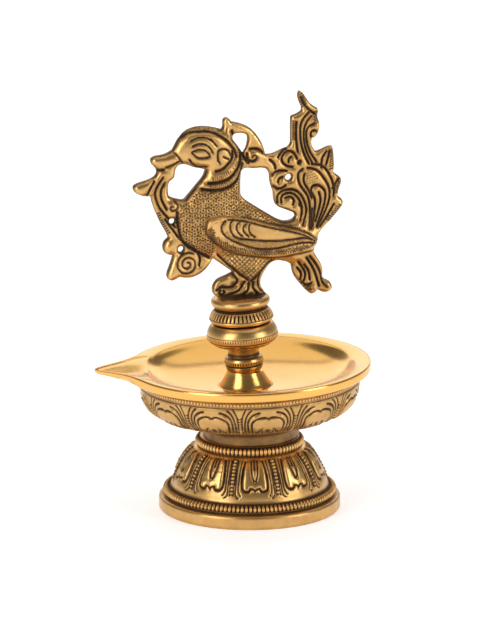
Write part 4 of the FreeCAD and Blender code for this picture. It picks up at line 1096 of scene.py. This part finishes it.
def faced_outwards(points, faces):
    """The faces, all turned over if most of them look towards the middle."""
    probe = np.array([points[f[:3]] for f in faces[::7]])
    normals = np.cross(probe[:, 1] - probe[:, 0], probe[:, 2] - probe[:, 0])
    if ((probe[:, 0] - points.mean(0)) * normals).sum() < 0:
        return [f[::-1] for f in faces]
    return faces


bird_points, bird_faces, bird_shade = bird()
bird_faces = faced_outwards(bird_points, bird_faces)
bird_piece = make_piece("bird_casting", bird_points, bird_faces, bird_brass, "finial", bird_shade)
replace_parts(bird_piece, "bird")

# ---------------------------------------------------------------- stud and fixings
rod_section = section([
    ([(CORE_R, 19.5), (2.2, 19.5)], 1.0), ([(2.2, 19.5), (2.95, 20.3)], 0.3), ([(2.95, 20.3),
      (2.95, 100.8)], 0.14),
    ([(2.95, 100.8), (CORE_R, 100.8)], 1.5), ([(CORE_R, 100.8), (CORE_R, 19.5)], 20.0),
])


def thread_relief(theta, profile):
    turn = (profile[:, 1:] + theta[None, :] / (2 * np.pi)) % 1.0
    wave = np.abs(turn * 2 - 1)
    flank = (profile[:, :1] > 2.5) & (profile[:, 1:] > 20.4) & (profile[:, 1:] < 100.0)
    return np.where(flank, -0.5 * wave, 0), np.where(flank, 0.4 * wave, 0)


rod = turned("threaded_rod", rod_section, 40, steel, "finial", thread_relief)
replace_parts(rod, "tie_rod")

# the CAD parts that are shown as themselves
for node, material in [("cone_collar", polished), ("seal_washer", fibre), ("plain_washer", steel),
                       ("spring_washer", steel), ("hex_nut", steel)]:
    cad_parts[node].material_slots[0].material = material


# ---------------------------------------------------------------- stage, light and camera
floor_mesh = bpy.data.meshes.new("floor")
floor_mesh.from_pydata([(-4, -4, 0), (4, -4, 0), (4, 4, 0), (-4, 4, 0)], [], [(0, 1, 2, 3)])
floor = bpy.data.objects.new("floor", floor_mesh)
bpy.context.scene.collection.objects.link(floor)
paper, paper_nodes, paper_links, paper_shader = new_material("paper")
paper_noise = add_node(paper_nodes, "ShaderNodeTexNoise", Scale=2.0)
paper_ramp = paper_nodes.new("ShaderNodeValToRGB")
paper_ramp.color_ramp.elements[0].color = (0.80, 0.80, 0.80, 1)
paper_ramp.color_ramp.elements[1].color = (0.83, 0.83, 0.83, 1)
paper_links.new(paper_noise.outputs["Fac"], paper_ramp.inputs["Fac"])
paper_links.new(paper_ramp.outputs["Color"], paper_shader.inputs["Base Color"])
paper_shader.inputs["Roughness"].default_value = 0.9
paper_shader.inputs["Emission Color"].default_value = (1, 1, 1, 1)
paper_shader.inputs["Emission Strength"].default_value = 0.52
floor_mesh.materials.append(paper)

# a room that is pale near the horizon and dim overhead
world = bpy.data.worlds.new("studio")
bpy.context.scene.world = world
world.use_nodes = True
sky_nodes, sky_links = world.node_tree.nodes, world.node_tree.links
sky_place, sky_split = sky_nodes.new("ShaderNodeTexCoord"), sky_nodes.new("ShaderNodeSeparateXYZ")
sky_height = add_node(sky_nodes, "ShaderNodeMapRange")
sky_height.inputs["From Min"].default_value = -1.0
sky_ramp = sky_nodes.new("ShaderNodeValToRGB")
SKY_GREYS = [(0.40, 0.60), (0.55, 0.46), (0.70, 0.17), (1.0, 0.09)]     # 0 is straight down, 1 straight up
set_stops(sky_ramp, [(at, (grey, grey, grey)) for at, grey in SKY_GREYS])
sky_links.new(sky_place.outputs["Generated"], sky_split.inputs["Vector"])
sky_links.new(sky_split.outputs["Z"], sky_height.inputs["Value"])
sky_links.new(sky_height.outputs["Result"], sky_ramp.inputs["Fac"])
sky_links.new(sky_ramp.outputs["Color"], world.node_tree.nodes["Background"].inputs["Color"])
world.node_tree.nodes["Background"].inputs["Strength"].default_value = 1.0


def softbox(name, place, power, size):
    light = bpy.data.lights.new(name, "AREA")
    light.shape = "RECTANGLE"
    light.size, light.size_y = size
    light.energy = power
    obj = bpy.data.objects.new(name, light)
    obj.location = place
    obj.rotation_mode = "QUATERNION"
    obj.rotation_quaternion = (Vector((0, 0, 0.1)) - Vector(place)).to_track_quat("-Z", "Y")
    bpy.context.scene.collection.objects.link(obj)


softbox("top", (0.1, 0.30, 1.2), 8.0, (1.7, 1.7))
softbox("left", (-0.95, -0.55, 0.55), 6.0, (0.6, 1.0))
softbox("right", (0.9, -0.8, 0.5), 5.0, (0.5, 0.9))
softbox("back", (0.3, 1.3, 0.6), 3.0, (1.4, 0.6))

AZIMUTH, ELEVATION, DISTANCE = math.radians(-15), math.radians(14), 2.4
level = math.cos(ELEVATION)
back = Vector((math.sin(AZIMUTH) * level, -math.cos(AZIMUTH) * level, math.sin(ELEVATION)))
camera = bpy.data.objects.new("camera", bpy.data.cameras.new("camera"))
camera.data.lens, camera.data.sensor_width = 295.4, 36
camera.location = Vector((0.0002, 0, 0.0899)) + back * DISTANCE
camera.rotation_mode = "QUATERNION"
camera.rotation_quaternion = (-back).to_track_quat("-Z", "Y")
bpy.context.scene.collection.objects.link(camera)
bpy.context.scene.camera = camera
bpy.context.scene.view_settings.view_transform = "Standard"
